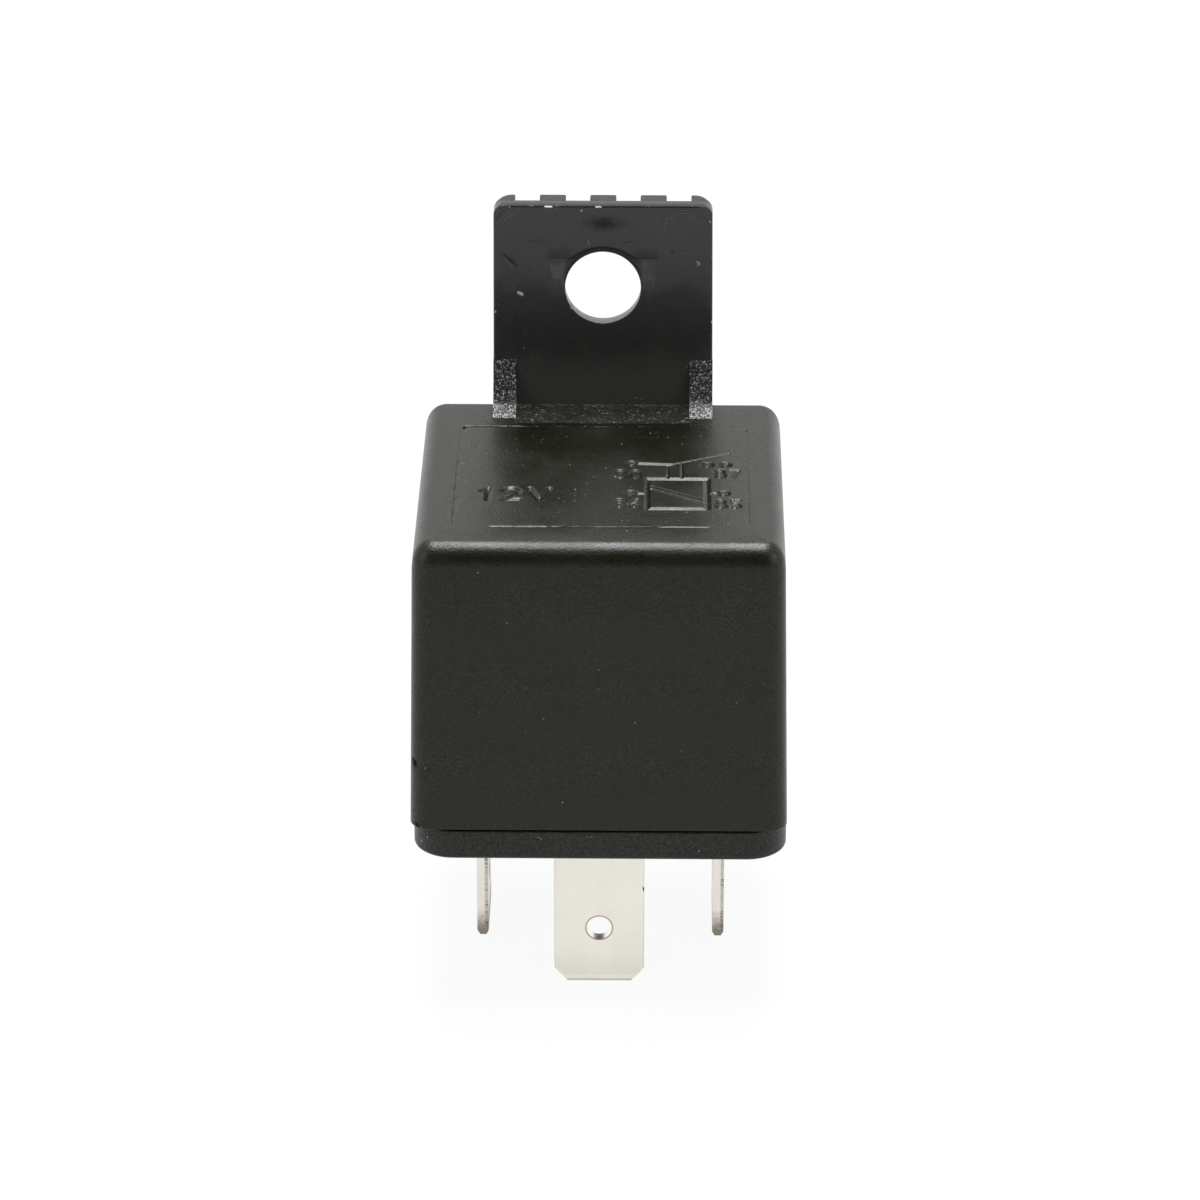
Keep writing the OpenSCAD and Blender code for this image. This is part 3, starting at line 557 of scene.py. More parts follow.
def winding():
    """Ring of wire turns: a profile of (radius, height), whose outside follows the turns as
    mean + depth |sin(pi z / pitch)|, is turned about the coil's upright axis."""
    n, pitch, depth, thick = 96, 0.24, 0.08, 2.6
    centre_y = (WINDING_LOW[1] + WINDING_HIGH[1]) / 2
    radius = (WINDING_HIGH[1] - WINDING_LOW[1]) / 2
    z = np.linspace(WINDING_LOW[2], WINDING_HIGH[2], 241)
    out = radius - 0.09 + depth * np.abs(np.sin(math.pi * (z - z[0]) / pitch))
    inside = [[radius - thick, z[-1]], [radius - thick, z[0]]]
    r, z = np.concatenate([np.stack([out, z], -1), inside]).T
    a = np.linspace(0, 2 * math.pi, n, endpoint=False)[:, None]
    loops = np.stack([r * np.cos(a), centre_y + r * np.sin(a), np.broadcast_to(z, (n, len(z)))], -1)
    return loft(loops, closed=True)


def leaf_spring():
    """Leaf of one thickness along a bent path: the tongue, the flat on the armature, a quarter
    bend and the leg behind the yoke; its width follows the path, with a round tongue end."""
    thick, bend_r, flat_up = 0.25, 0.7, 1.45
    tongue, broad, tip_y = 2.3, (SPRING_HIGH[0] - SPRING_LOW[0]) / 2, -9.05
    step_y = ARMATURE_FRONT + 0.75
    bend_y = YOKE_BACK - bend_r
    bend_z = flat_up - bend_r - (bend_y - PIVOT[1]) * math.sin(OPEN)
    bend_z = PIVOT[2] + bend_z / math.cos(OPEN)

    def at_rest(y, up):
        c, s = math.cos(-OPEN), math.sin(-OPEN)
        return np.stack([PIVOT[1] + (y - PIVOT[1]) * c - up * s,
                         PIVOT[2] + (y - PIVOT[1]) * s + up * c], -1)

    tip = tip_y + tongue * (1 - np.cos(np.radians(np.linspace(8, 90, 9))))
    y = np.concatenate([tip, np.linspace(tip_y + tongue + 0.3, step_y, 6)[:-1],
                        [step_y - 0.35, step_y, step_y + 0.3], np.linspace(step_y + 1, 8.9, 8)])
    tip_width = np.sqrt(np.maximum(tongue ** 2 - (tongue - (y - tip_y)) ** 2, 0.01))
    width = np.where(y < tip_y + tongue, tip_width, np.where(y < step_y - 0.2, tongue, broad))
    width = np.where(np.abs(y - step_y) < 1e-6, broad - 0.3, width)
    a = np.linspace(math.pi / 2 - OPEN, 0, 12)
    leg_z = np.linspace(bend_z - 0.3, SPRING_LOW[2], 10)

    def side(off):
        bend = [bend_y + (bend_r + off) * np.cos(a), bend_z + (bend_r + off) * np.sin(a)]
        leg = [np.full(len(leg_z), YOKE_BACK + off), leg_z]
        return np.concatenate([at_rest(y, np.full(len(y), flat_up + off)),
                               np.stack(bend, -1), np.stack(leg, -1)])
    low, high = side(0.0), side(thick)
    w = np.concatenate([width, np.full(len(low) - len(width), broad)])
    return loft(np.stack([np.column_stack([-w, low]), np.column_stack([w, low]),
                          np.column_stack([w, high]), np.column_stack([-w, high])], 1))


# ---------------------------------------------------------------- materials

class Tree:
    """Short hand for building a node tree."""

    def __init__(self, tree):
        self.tree = tree

    def put(self, socket, value):
        """Links an output to the socket, or sets a plain value on it."""
        if isinstance(value, bpy.types.NodeSocket):
            self.tree.links.new(value, socket)
        else:
            socket.default_value = value

    def node(self, kind, **inputs):
        n = self.tree.nodes.new(kind)
        for label, value in inputs.items():
            self.put(n.inputs[label], value)
        return n

    def math(self, operation, *values, clamp=False):
        n = self.tree.nodes.new("ShaderNodeMath")
        n.operation, n.use_clamp = operation, clamp
        for socket, value in zip(n.inputs, values):
            self.put(socket, value)
        return n.outputs[0]

    def times(self, first, *others):
        """Product of masks."""
        for other in others:
            first = self.math("MULTIPLY", first, other)
        return first

    def ramp(self, value, low, high, to_low=0.0, to_high=1.0):
        """Smooth step from to_low at low to to_high at high; low may be the greater one."""
        n = self.tree.nodes.new("ShaderNodeMapRange")
        n.interpolation_type = "SMOOTHSTEP"
        for socket, setting in zip(n.inputs, (value, low, high, to_low, to_high)):
            self.put(socket, setting)
        return n.outputs[0]

    def band(self, value, start, full, end, gone):
        """Mask that rises from start to full and falls from end to gone."""
        return self.times(self.ramp(value, start, full), self.ramp(value, gone, end))

    def mix(self, factor, a, b):
        n = self.tree.nodes.new("ShaderNodeMix")
        n.data_type = "RGBA"
        for k, value in ((0, factor), (6, a), (7, b)):
            self.put(n.inputs[k], value)
        return n.outputs[2]

    def paint(self, tone, mask, colour):
        """Lays a colour, or a grey level, over the tone where the mask is one."""
        rgb = colour if isinstance(colour, tuple) else (colour,) * 3
        return self.mix(mask, tone, (*rgb, 1))

    def noise(self, vector, scale, detail, rough):
        return self.node("ShaderNodeTexNoise", Vector=vector, Scale=scale, Detail=detail,
                         Roughness=rough).outputs["Fac"]

    def vector(self, operation, a, b=None):
        n = self.tree.nodes.new("ShaderNodeVectorMath")
        n.operation = operation
        self.put(n.inputs[0], a)
        if b is not None:
            self.put(n.inputs["Scale" if operation == "SCALE" else 1], b)
        return n.outputs["Value" if operation in ("LENGTH", "DISTANCE", "DOT_PRODUCT") else 0]

    def reach(self, place, centre, weights=(1, 0, 1)):
        """Distance from a centre with the axes weighed; as it stands, as seen from the front."""
        off = self.vector("MULTIPLY", self.vector("SUBTRACT", place, centre), weights)
        return self.vector("LENGTH", off)

    def split(self, vector):
        return tuple(self.node("ShaderNodeSeparateXYZ", Vector=vector).outputs)

    def use(self, group, place, **inputs):
        """Places a node group at a place and returns its outputs by name."""
        n = self.tree.nodes.new("ShaderNodeGroup")
        n.node_tree = group
        for label, value in {"Vector": place, **inputs}.items():
            self.put(n.inputs[label], value)
        return n.outputs


def group(name, inputs, outputs, build):
    """Node group with named sockets: build gets a Tree and the inputs, and returns the outputs."""
    tree = bpy.data.node_groups.new(name, "ShaderNodeTree")
    for label, kind, value in inputs:
        socket = tree.interface.new_socket(label, in_out="INPUT", socket_type="NodeSocket" + kind)
        if value is not None:
            socket.default_value = value
    for label, kind in outputs:
        tree.interface.new_socket(label, in_out="OUTPUT", socket_type="NodeSocket" + kind)
    source, sink = tree.nodes.new("NodeGroupInput"), tree.nodes.new("NodeGroupOutput")
    results = build(Tree(tree), {label: source.outputs[label] for label, _, _ in inputs})
    for (label, _), value in zip(outputs, results):
        tree.links.new(value, sink.inputs[label])
    return tree


def build_grain(t, s):
    """Eroded or polished mould surface: fine bumps whose height fades in patches, and a finer
    speckle between 0 and 1."""
    fine = t.noise(s["Vector"], s["Scale"], 3.0, 0.65)
    patches = t.noise(s["Vector"], 0.35, 2.0, 0.5)
    amount = t.ramp(patches, 0.3, 0.7, 0.6, 1.0)
    speckle = t.ramp(t.noise(s["Vector"], 9.0, 1.0, 0.5), 0.3, 0.7)
    return t.times(t.math("SUBTRACT", fine, 0.5), amount), patches, speckle


def build_dust(t, s):
    """Few pale specks: small discs at scattered points, most of them left out."""
    n = t.node("ShaderNodeTexVoronoi", Vector=s["Vector"], Scale=s["Scale"])
    near = t.ramp(n.outputs["Distance"], s["Size"], t.times(s["Size"], 0.4))
    chance, level, _ = t.split(n.outputs["Color"])
    keep = t.math("LESS_THAN", chance, s["Share"])
    return (t.times(near, keep, t.ramp(level, 0.0, 1.0, 0.35, 1.0)),)


def build_ring(t, s):
    """Line along a circle that faces the front: one where the distance from the centre in X and Z
    is close to the radius."""
    off = t.math("ABSOLUTE", t.math("SUBTRACT", t.reach(s["Vector"], s["Centre"]), s["Radius"]))
    return (t.ramp(off, s["Width"], 0.0),)


def build_line(t, s):
    """Scratch: one within the width of the straight line between two points, fading to zero."""
    rel = t.vector("SUBTRACT", s["Vector"], s["From"])
    run = t.vector("SUBTRACT", s["To"], s["From"])
    along = t.math("DIVIDE", t.vector("DOT_PRODUCT", rel, run), t.vector("DOT_PRODUCT", run, run),
                   clamp=True)
    off = t.vector("DISTANCE", rel, t.vector("SCALE", run, along))
    return (t.ramp(off, s["Width"], t.times(s["Width"], 0.4)),)


def build_streaks(t, s):
    """Rolled strip: noise drawn out along Z, with a slower cloud over it."""
    drawn_out = t.node("ShaderNodeMapping", Vector=s["Vector"], Scale=(1.0, 1.0, 0.12)).outputs[0]
    return t.noise(drawn_out, s["Scale"], 3.0, 0.6), t.noise(s["Vector"], 0.6, 3.0, 0.55)


PLACE = ("Vector", "Vector", None)
MASK = [("Mask", "Float")]
GRAIN = group("mould_grain", [PLACE, ("Scale", "Float", 6.0)],
              [("Height", "Float"), ("Patches", "Float"), ("Speckle", "Float")], build_grain)
DUST = group("pale_specks", [PLACE, ("Scale", "Float", 0.7), ("Size", "Float", 0.06),
                             ("Share", "Float", 0.3)], MASK, build_dust)
LINE = group("short_line", [PLACE, ("From", "Vector", (0, 0, 0)), ("To", "Vector", (0, 0, 1)),
                            ("Width", "Float", 0.1)], MASK, build_line)
RING = group("ring_line", [PLACE, ("Centre", "Vector", (0, 0, 0)), ("Radius", "Float", 1.0),
                           ("Width", "Float", 0.1)], MASK, build_ring)
STREAKS = group("rolled_strip", [PLACE, ("Scale", "Float", 6.0)],
                [("Lines", "Float"), ("Cloud", "Float")], build_streaks)


def empty_tree(owner):
    """Tree of a material or world with its nodes cleared."""
    owner.use_nodes = True
    owner.node_tree.nodes.clear()
    return Tree(owner.node_tree)


def new_material(name):
    """Material with a bare Principled shader; returns the material, its tree, the shader and the
    place on the piece in millimetres."""
    material = bpy.data.materials.new(name)
    t = empty_tree(material)
    shader = t.node("ShaderNodeBsdfPrincipled")
    t.node("ShaderNodeOutputMaterial", Surface=shader.outputs[0])
    place = t.vector("SCALE", t.node("ShaderNodeTexCoord").outputs["Object"], 1000.0)
    return material, t, shader, place


def finish(t, shader, tone, roughness, height, depth):
    """Puts tone, roughness and a bump of the given depth on the shader."""
    t.put(shader.inputs["Base Color"], tone)
    t.put(shader.inputs["Roughness"], roughness)
    relief = t.node("ShaderNodeBump", Strength=1.0, Distance=depth, Height=height)
    t.put(shader.inputs["Normal"], relief.outputs[0])


def plastic(name, colour, rough, grain, depth, dust, marks=None, specular=0.33, speckle=0.6):
    """Moulded plastic: slightly uneven tone and gloss, fine mould grain, a few pale specks; grain
    is its scale, depth its height in metres, dust the share of specks, speckle the unevenness."""
    material, t, shader, place = new_material(name)
    g = t.use(GRAIN, place, Scale=grain)
    low, high = [tuple(c * share for c in colour) for share in (1 - speckle, 1 + speckle)]
    tone = t.mix(g["Speckle"], (*low, 1), (*high, 1))
    tone = t.paint(tone, t.times(g["Patches"], 0.3), tuple(c * 1.3 for c in colour))
    fine = t.ramp(g["Height"], -0.25, 0.25)
    roughness = t.math("ADD", t.times(t.math("SUBTRACT", g["Patches"], 0.5), 0.10),
                       t.math("MULTIPLY_ADD", fine, 0.05, rough))
    specks = t.use(DUST, place, Scale=1.6, Size=0.11, Share=dust)["Mask"]
    if marks:
        tone, roughness = marks(t, place, tone, roughness)
    tone = t.paint(tone, specks, (0.30, 0.30, 0.28))
    t.put(shader.inputs["Coat Weight"], t.times(g["Speckle"], speckle * 0.3))
    shader.inputs["Coat Roughness"].default_value = rough
    shader.inputs["Specular IOR Level"].default_value = specular
    finish(t, shader, tone, roughness, g["Height"], depth)
    return material


def metal(name, colour, dark, rough, scale, metallic=1.0, marks=None):
    """Rolled or plated metal: drawn-out lines in tone and gloss, a slow cloud of tarnish."""
    material, t, shader, place = new_material(name)
    g = t.use(STREAKS, place, Scale=scale)
    tone = t.mix(t.ramp(g["Cloud"], 0.35, 0.75), (*colour, 1), (*dark, 1))
    roughness = t.math("MULTIPLY_ADD", g["Lines"], 0.16, rough)
    shader.inputs["Metallic"].default_value = metallic
    if marks:
        tone, roughness = marks(t, place, tone, roughness)
    finish(t, shader, tone, roughness, g["Lines"], depth=0.000004)
    return material


# ---------------------------------------------------------------- marks and wear

DARK = (0.0056, 0.0055, 0.0024)


def scratches(t, place, tone, lines, *masks):
    """Lays short, slightly warm grey lines over the tone, given as (start, stop, half width, grey
    level), as far as the masks let them show."""
    for start, stop, width, level in lines:
        line = t.use(LINE, place, From=start, To=stop, Width=width)["Mask"]
        tone = t.paint(tone, t.times(line, *masks), (level, level, level * 0.96))
    return tone


def worn_spots(t, place, scale, low, high, least=0.0):
    """Mask of cloudy spots, never less than the least."""
    return t.ramp(t.noise(place, scale, 2.0, 0.6), low, high, least, 1.0)


# Cutter rings by the tab's top corners, as (x, height above the top, radius, inner end in x)
CUTTER_RINGS = [(-5.86, 13.37, 1.75, -0.3), (-5.86, 13.37, 1.58, -0.2), (-5.86, 13.37, 1.40, 0.0),
                (5.72, 13.13, 1.85, -2.0), (5.72, 13.13, 1.66, -2.0), (5.72, 13.13, 1.50, 0.3)]

# Witness lines, chips and scuffs on the tab's front, as (x, height above the top, x and height
# of the other end, half width, grey level)
TAB_CHIPS = [
    (-3.8, 11.28, -1.95, 11.28, 0.07, 0.002), (2.3, 11.28, 3.86, 11.28, 0.09, 0.002),
    (-3.8, 11.28, -3.8, 8.43, 0.04, 0.014), (3.86, 11.28, 3.86, 8.83, 0.04, 0.014),
    (-7.0, 11.58, -6.55, 11.03, 0.11, 0.001), (-6.55, 11.03, -6.05, 10.68, 0.10, 0.001),
    (-6.6, 11.23, -6.25, 10.98, 0.08, 0.001), (-6.9, 11.23, -6.4, 10.63, 0.05, 0.06),
    (-5.2, 12.53, -4.0, 12.56, 0.06, 0.010), (1.36, 12.43, 2.14, 12.58, 0.06, 0.008),
    (4.86, 11.83, 4.88, 11.79, 0.10, 0.002), (-6.6, 15.11, -6.55, 15.11, 0.06, 0.3),
    (-5.96, 8.65, -5.72, 8.51, 0.15, 0.30), (-1.05, 12.63, -0.95, 12.23, 0.05, 0.10),
    (6.62, 11.05, 6.82, 10.88, 0.07, 0.20), (6.82, 10.88, 6.66, 10.75, 0.07, 0.14),
    (-4.05, 15.13, -3.6, 15.13, 0.09, 0.6), (-0.5, 15.12, -0.15, 15.13, 0.08, 0.5),
    (7.5, 14.08, 7.52, 14.03, 0.07, 0.25), (-1.52, 14.85, -1.5, 14.83, 0.07, 0.35),
    (7.72, 11.53, 7.72, 11.23, 0.07, 0.4), (7.72, 6.53, 7.72, 6.38, 0.07, 0.4),
    (-7.6, 7.23, -7.6, 7.13, 0.06, 0.3), (-1.1, 11.58, -1.05, 11.53, 0.07, 0.35)]


def cutter_rings(t, place, spot, tone):
    """Parts of dark circles with a paler one just inside each; they fade below and inwards."""
    x, _, z = t.split(spot)
    for ring_x, ring_z, radius, inner in CUTTER_RINGS:
        centre = (ring_x, 0, ring_z)
        ring = t.use(RING, spot, Centre=centre, Radius=radius, Width=0.08)["Mask"]
        halo = t.use(RING, spot, Centre=centre, Radius=radius - 0.09, Width=0.06)["Mask"]
        outward = t.math("MULTIPLY_ADD", x, math.copysign(1.0, ring_x), -abs(ring_x))
        part = t.times(t.ramp(z, ring_z + 0.1, ring_z + 0.7), t.ramp(outward, inner, inner + 0.5),
                       worn_spots(t, place, 1.3, 0.38, 0.6, 0.4))
        tone = t.paint(tone, t.times(halo, part, 0.7), (0.09, 0.09, 0.085))
        tone = t.paint(tone, t.times(ring, part), 0.001)
    return tone


def tab_marks(t, place, tone, roughness):
    """Marks on the tab: painted shade in a cloudy band across its middle and a painted reflection
    that lightens its lower part, cutter rings by the top corners, witness lines and paler clouds
    beside the hole, a painted shadow arc and a smudge above it, chips and scuffs, and the wall
    inside the hole painted grey as if lit. Spot is the place from the middle of the tab's foot:
    across, behind its front, above the top."""
    spot = t.vector("SUBTRACT", place, (0, TAB_Y, TOP_Z))
    x, y, z = t.split(spot)
    across, tab_up = t.math("ABSOLUTE", x), TAB_TOP - TOP_Z
    # Painted shade: a cloudy band across the middle of the tab is painted darker. Painted
    # reflection: the lower part is painted lighter, as if it mirrored the cover's top.
    cloud = t.math("MULTIPLY_ADD", t.noise(place, 0.45, 2.0, 0.5), 4.0, t.math("SUBTRACT", z, 2.0))
    middle = t.band(cloud, 1.63, 5.63, 8.23, 9.63)
    tone = t.paint(tone, t.times(middle, 0.6), (0.008, 0.008, 0.0075))
    tone = t.paint(tone, t.ramp(z, 4.63, 1.13, 0.0, 0.8), (0.046, 0.045, 0.042))
    tone = cutter_rings(t, place, spot, tone)

    # Painted shadow: a near-black arc at the upper edge of the sloping front above the hole, with
    # its roughness raised.
    arc = t.use(RING, spot, Centre=(0, 0, HOLE_UP - 0.35), Radius=3.42, Width=0.16)["Mask"]
    arc = t.times(arc, t.ramp(z, HOLE_UP + 1.6, HOLE_UP + 2.4))
    tone = t.paint(tone, t.times(arc, 0.9), 0.001)
    roughness = t.math("MULTIPLY_ADD", arc, 0.4, roughness)
    smudge = t.ramp(t.reach(spot, (0.1, 0, tab_up - 1.3), (0.6, 0, 1.6)), 1.3, 0.1)
    smudge = t.times(smudge, t.ramp(t.noise(place, 2.2, 3.0, 0.6), 0.35, 0.6, 0.3, 1.0))
    tone = t.paint(tone, t.times(smudge, 0.9), 0.002)
    roughness = t.math("MULTIPLY_ADD", smudge, 0.3, roughness)
    above = t.times(t.band(across, 1.9, 2.6, 3.7, 4.0), t.band(z, 11.23, 11.33, 11.53, 12.23))
    tone = t.paint(tone, t.times(above, 0.7), 0.009)
    beside = t.times(t.band(across, 2.6, 2.9, 3.6, 4.2), t.band(z, 8.53, 9.53, 10.83, 11.33),
                     t.ramp(t.noise(place, 1.1, 3.0, 0.6), 0.38, 0.62))
    tone = t.paint(tone, t.times(beside, 0.8), (0.060, 0.059, 0.056))

    tone = t.paint(tone, t.ramp(z, tab_up - 0.06, tab_up - 0.02), 0.004)
    brink = t.times(t.ramp(z, tab_up - 0.16, tab_up - 0.1), t.ramp(y, 0.12, 0.08),
                    worn_spots(t, place, 1.6, 0.35, 0.5, 0.2))
    tone = t.paint(tone, brink, 0.001)
    roughness = t.math("MULTIPLY_ADD", brink, 0.5, roughness)
    tone = scratches(t, spot, tone, [((x0, 0, z0), (x1, 0, z1), width, level)
                                     for x0, z0, x1, z1, width, level in TAB_CHIPS])
    low = t.times(t.ramp(x, 0.5, 3.0, 0.25, 1.0), t.ramp(z, 4.23, 2.83))
    specks = t.use(DUST, place, Scale=2.2, Size=0.15, Share=0.3)["Mask"]
    tone = t.paint(tone, t.times(specks, low), (0.40, 0.40, 0.37))
    seam = t.times(t.ramp(z, 0.11, 0.05), worn_spots(t, place, 2.5, 0.35, 0.65))
    tone = t.paint(tone, seam, (0.16, 0.16, 0.15))

    reach = t.reach(spot, (0, 0, HOLE_UP))
    # Painted light: the wall inside the hole is painted grey, as if lit from behind.
    wall = t.times(t.ramp(reach, HOLE_R + 0.03, HOLE_R + 0.01), t.ramp(y, 0.01, 0.06))
    tone = t.paint(tone, wall, (0.10, 0.10, 0.105))
    back = t.times(t.ramp(y, TAB_T - 0.1, TAB_T - 0.03), t.ramp(reach, HOLE_R, HOLE_R + 0.04))
    return t.paint(tone, back, DARK), roughness


def cover_marks(t, place, tone, roughness):
    """Marks on the cover: a coarse speckled strip at the foot of the tab, and scratches on the
    front top edge and beside the drawing."""
    x, y, z = t.split(place)
    foot = t.times(t.ramp(y, PANEL_Y1 + 0.1, PANEL_Y1 + 0.5),
                   t.band(z, TOP_Z - 0.3, TOP_Z - 0.1, TOP_Z + 0.1, TOP_Z + 0.2),
                   t.ramp(t.math("ABSOLUTE", x), 6.6, 6.0))
    coarse = t.noise(place, 4.0, 3.0, 0.7)
    tone = t.paint(tone, t.times(foot, t.ramp(coarse, 0.35, 0.75)), (0.042, 0.041, 0.038))
    tone = t.paint(tone, t.times(foot, t.ramp(coarse, 0.62, 0.70)), (0.30, 0.295, 0.28))
    roughness = t.math("MULTIPLY_ADD", foot, 0.25, roughness)
    front, top = 0.3 - HALF_D, TOP_Z
    tone = scratches(t, place, tone, [
        ((6.12, front - 0.05, top - 1.32), (6.62, front + 0.02, top - 0.82), 0.07, 0.16),
        ((8.55, front, top - 1.92), (8.58, front, top - 1.57), 0.05, 0.13),
        ((-10.9, front, top - 1.47), (-10.9, front, top - 1.39), 0.07, 0.3),
        ((11.62, -7.0, top), (12.15, -7.25, top), 0.07, 0.25),
        ((11.3, -9.5, top), (11.32, -9.9, top), 0.05, 0.12)])
    return tone, roughness


def base_marks(t, place, tone, roughness):
    """Base: a thin dark line under the seam at the left of the front, and pale scratches."""
    _, y, _ = t.split(place)
    flat = t.vector("MULTIPLY", place, (1, 0, 1))
    top = FLANGE_TOP
    tone = scratches(t, flat, tone, [
        ((-11.5, 0, top - 0.26), (-8.2, 0, top - 0.3), 0.06, 0.0005),
        ((-4.2, 0, top - 0.45), (-3.9, 0, top - 0.6), 0.05, 0.07),
        ((-0.8, 0, top - 0.4), (-0.4, 0, top - 0.42), 0.05, 0.05),
        ((-12.3, 0, top - 1.3), (-12.25, 0, top - 1.34), 0.09, 0.25)],
        t.ramp(y, -HALF_D + 1.5, -HALF_D + 1.0))
    return tone, roughness


def glinting_grain(t, place, tone, roughness):
    """Eroded gusset: single raised grains are painted pale as glints, and at the foot nearly all of
    them are, as a painted highlight.
    """
    _, _, z = t.split(place)
    grain = t.noise(place, 7.0, 2.0, 0.6)
    # Painted highlight: pale glints on single grains, and a pale foot where the lamp would catch
    # it.
    tone = t.paint(tone, t.ramp(grain, 0.53, 0.64), (0.26, 0.26, 0.25))
    foot_highlight = t.times(t.ramp(z, TOP_Z + 0.8, TOP_Z + 0.45), t.ramp(grain, 0.42, 0.60, 0.02, 1.0))
    return t.paint(tone, foot_highlight, (0.50, 0.50, 0.48)), roughness


def groove_polish(t, place, tone, roughness):
    """Grooves are smoother than the top: they come from polished parts of the mould."""
    _, _, z = t.split(place)
    sunk = t.ramp(z, TOP_Z - 0.012, TOP_Z - 0.04)
    return tone, t.times(roughness, t.ramp(sunk, 0.0, 1.0, 1.0, 0.55))


def blade_marks(t, place, tone, roughness):
    """Blades: a torn strip along one side of the coil blades' cut edge, tips worn through to the
    base metal, painted shade at the front blade's tip and along its sides, a brown rim at the
    front blade's hole with its wall painted near white as if lit, and a few pits."""
    x, y, z = t.split(place)
    across = t.math("ABSOLUTE", x)
    coil_blades = t.ramp(across, 6.0, 7.0)
    front_blade = t.ramp(y, LOAD_Y + 1.5, LOAD_Y + 1.0)
    own_x = t.math("SUBTRACT", x, t.times(t.math("SIGN", x), COIL_X))
    torn = t.times(t.ramp(own_x, 0.14, 0.2), coil_blades,
                   t.ramp(y, -BLADE_HALF + 0.15, -BLADE_HALF + 0.05))
    ticks = t.noise(t.vector("MULTIPLY", place, (1.0, 1.0, 3.5)), 1.1, 3.0, 0.65)
    tone = t.paint(tone, t.times(torn, 0.45), (0.40, 0.37, 0.32))
    tone = t.paint(tone, t.times(torn, t.ramp(ticks, 0.52, 0.64, 0.0, 0.7)), (0.16, 0.14, 0.12))
    grime = t.math("MULTIPLY_ADD", t.noise(place, 3.0, 4.0, 0.65), 1.6, -0.8)
    worn = t.ramp(t.math("ADD", z, grime), 2.8, 0.7)
    tone = t.paint(tone, t.times(worn, coil_blades, 0.9), (0.19, 0.15, 0.115))

    # Painted shade: the front blade is darker at its very tip and in thin strips along its sides,
    # where its bevelled edges would turn from the light.
    low = t.times(t.ramp(z, 0.22, 0.1), front_blade, 0.6)
    tone = t.paint(tone, low, (0.38, 0.35, 0.30))
    edge = t.times(t.ramp(across, BLADE_HALF - 0.07, BLADE_HALF - 0.02), front_blade, 0.55)
    tone = t.paint(tone, edge, (0.42, 0.40, 0.35))
    reach = t.reach(place, (0, 0, DETENT_Z))
    rim = t.times(t.ramp(reach, DETENT_R + 0.11, DETENT_R + 0.06), front_blade, 0.9)
    tone = t.paint(tone, rim, (0.30, 0.21, 0.13))
    # Painted light: the wall of the front blade's hole is painted near white, as if lit, and made
    # smoother.
    inside = t.ramp(t.math("ABSOLUTE", t.math("SUBTRACT", y, LOAD_Y)), 0.399, 0.38)
    wall = t.times(t.ramp(reach, DETENT_R + 0.04, DETENT_R + 0.02), inside, front_blade)
    tone = t.paint(tone, wall, (0.98, 0.975, 0.95))
    pit_x, pit_y = BLADE_HALF - 0.05, LOAD_Y - 0.4
    pit = t.use(LINE, place, From=(pit_x, pit_y, 7.5), To=(pit_x + 0.02, pit_y, 7.3),
              Width=0.09)["Mask"]
    tone = t.paint(tone, pit, (0.07, 0.06, 0.05))
    specks = t.use(DUST, place, Scale=1.1, Size=0.05, Share=0.3)["Mask"]
    tone = t.paint(tone, t.times(specks, 0.6), (0.28, 0.26, 0.22))
    roughness = t.math("MULTIPLY_ADD", t.math("MAXIMUM", worn, torn), 0.15, roughness)
    return tone, t.times(roughness, t.ramp(wall, 0.0, 1.0, 1.0, 0.5))


COVER_PLASTIC = plastic("cover_plastic", DARK, rough=0.27, grain=6.0, depth=0.00005, dust=0.08,
                        marks=cover_marks, specular=0.26)
TAB_PLASTIC = plastic("tab_plastic", (0.0270, 0.0265, 0.0250), rough=0.26, grain=4.0,
                      depth=0.000003, dust=0.03, marks=tab_marks, specular=0.34, speckle=0.12)
PANEL_PLASTIC = plastic("panel_plastic", DARK, rough=0.27, grain=6.0, depth=0.00005, dust=0.6,
                        marks=groove_polish, specular=0.26)
GRAINY_PLASTIC = plastic("eroded_plastic", (0.006, 0.006, 0.0055), rough=0.30, grain=4.4,
                         depth=0.0004, dust=0.0, marks=glinting_grain, specular=0.3)
BASE_PLASTIC = plastic("base_plastic", (0.0066, 0.0064, 0.0036), rough=0.36, grain=6.0,
                       depth=0.00003, dust=0.1, marks=base_marks, specular=0.26, speckle=0.8)
TIN = metal("tinned_strip", (0.865, 0.835, 0.76), (0.84, 0.805, 0.73), rough=0.30, scale=7.0,
            metallic=0.9, marks=blade_marks)
ZINC = metal("zinc_steel", (0.50, 0.51, 0.53), (0.40, 0.41, 0.42), rough=0.32, scale=9.0)
BRIGHT = metal("turned_steel", (0.62, 0.62, 0.62), (0.52, 0.52, 0.52), rough=0.25, scale=12.0)
BRONZE = metal("spring_bronze", (0.74, 0.50, 0.26), (0.62, 0.38, 0.18), rough=0.28, scale=8.0)
SILVER = metal("contact_metal", (0.82, 0.81, 0.78), (0.66, 0.64, 0.60), rough=0.22, scale=10.0)
COPPER = metal("enamelled_wire", (0.52, 0.20, 0.07), (0.40, 0.13, 0.04), rough=0.25, scale=14.0)
BOBBIN = plastic("bobbin_plastic", (0.62, 0.56, 0.42), rough=0.42, grain=5.0, depth=0.00001,
                 dust=0.0, speckle=0.08)
TAPE = plastic("yellow_film", (0.62, 0.42, 0.08), rough=0.22, grain=2.0, depth=0.000006, dust=0.0,
               speckle=0.05)


# ---------------------------------------------------------------- pieces

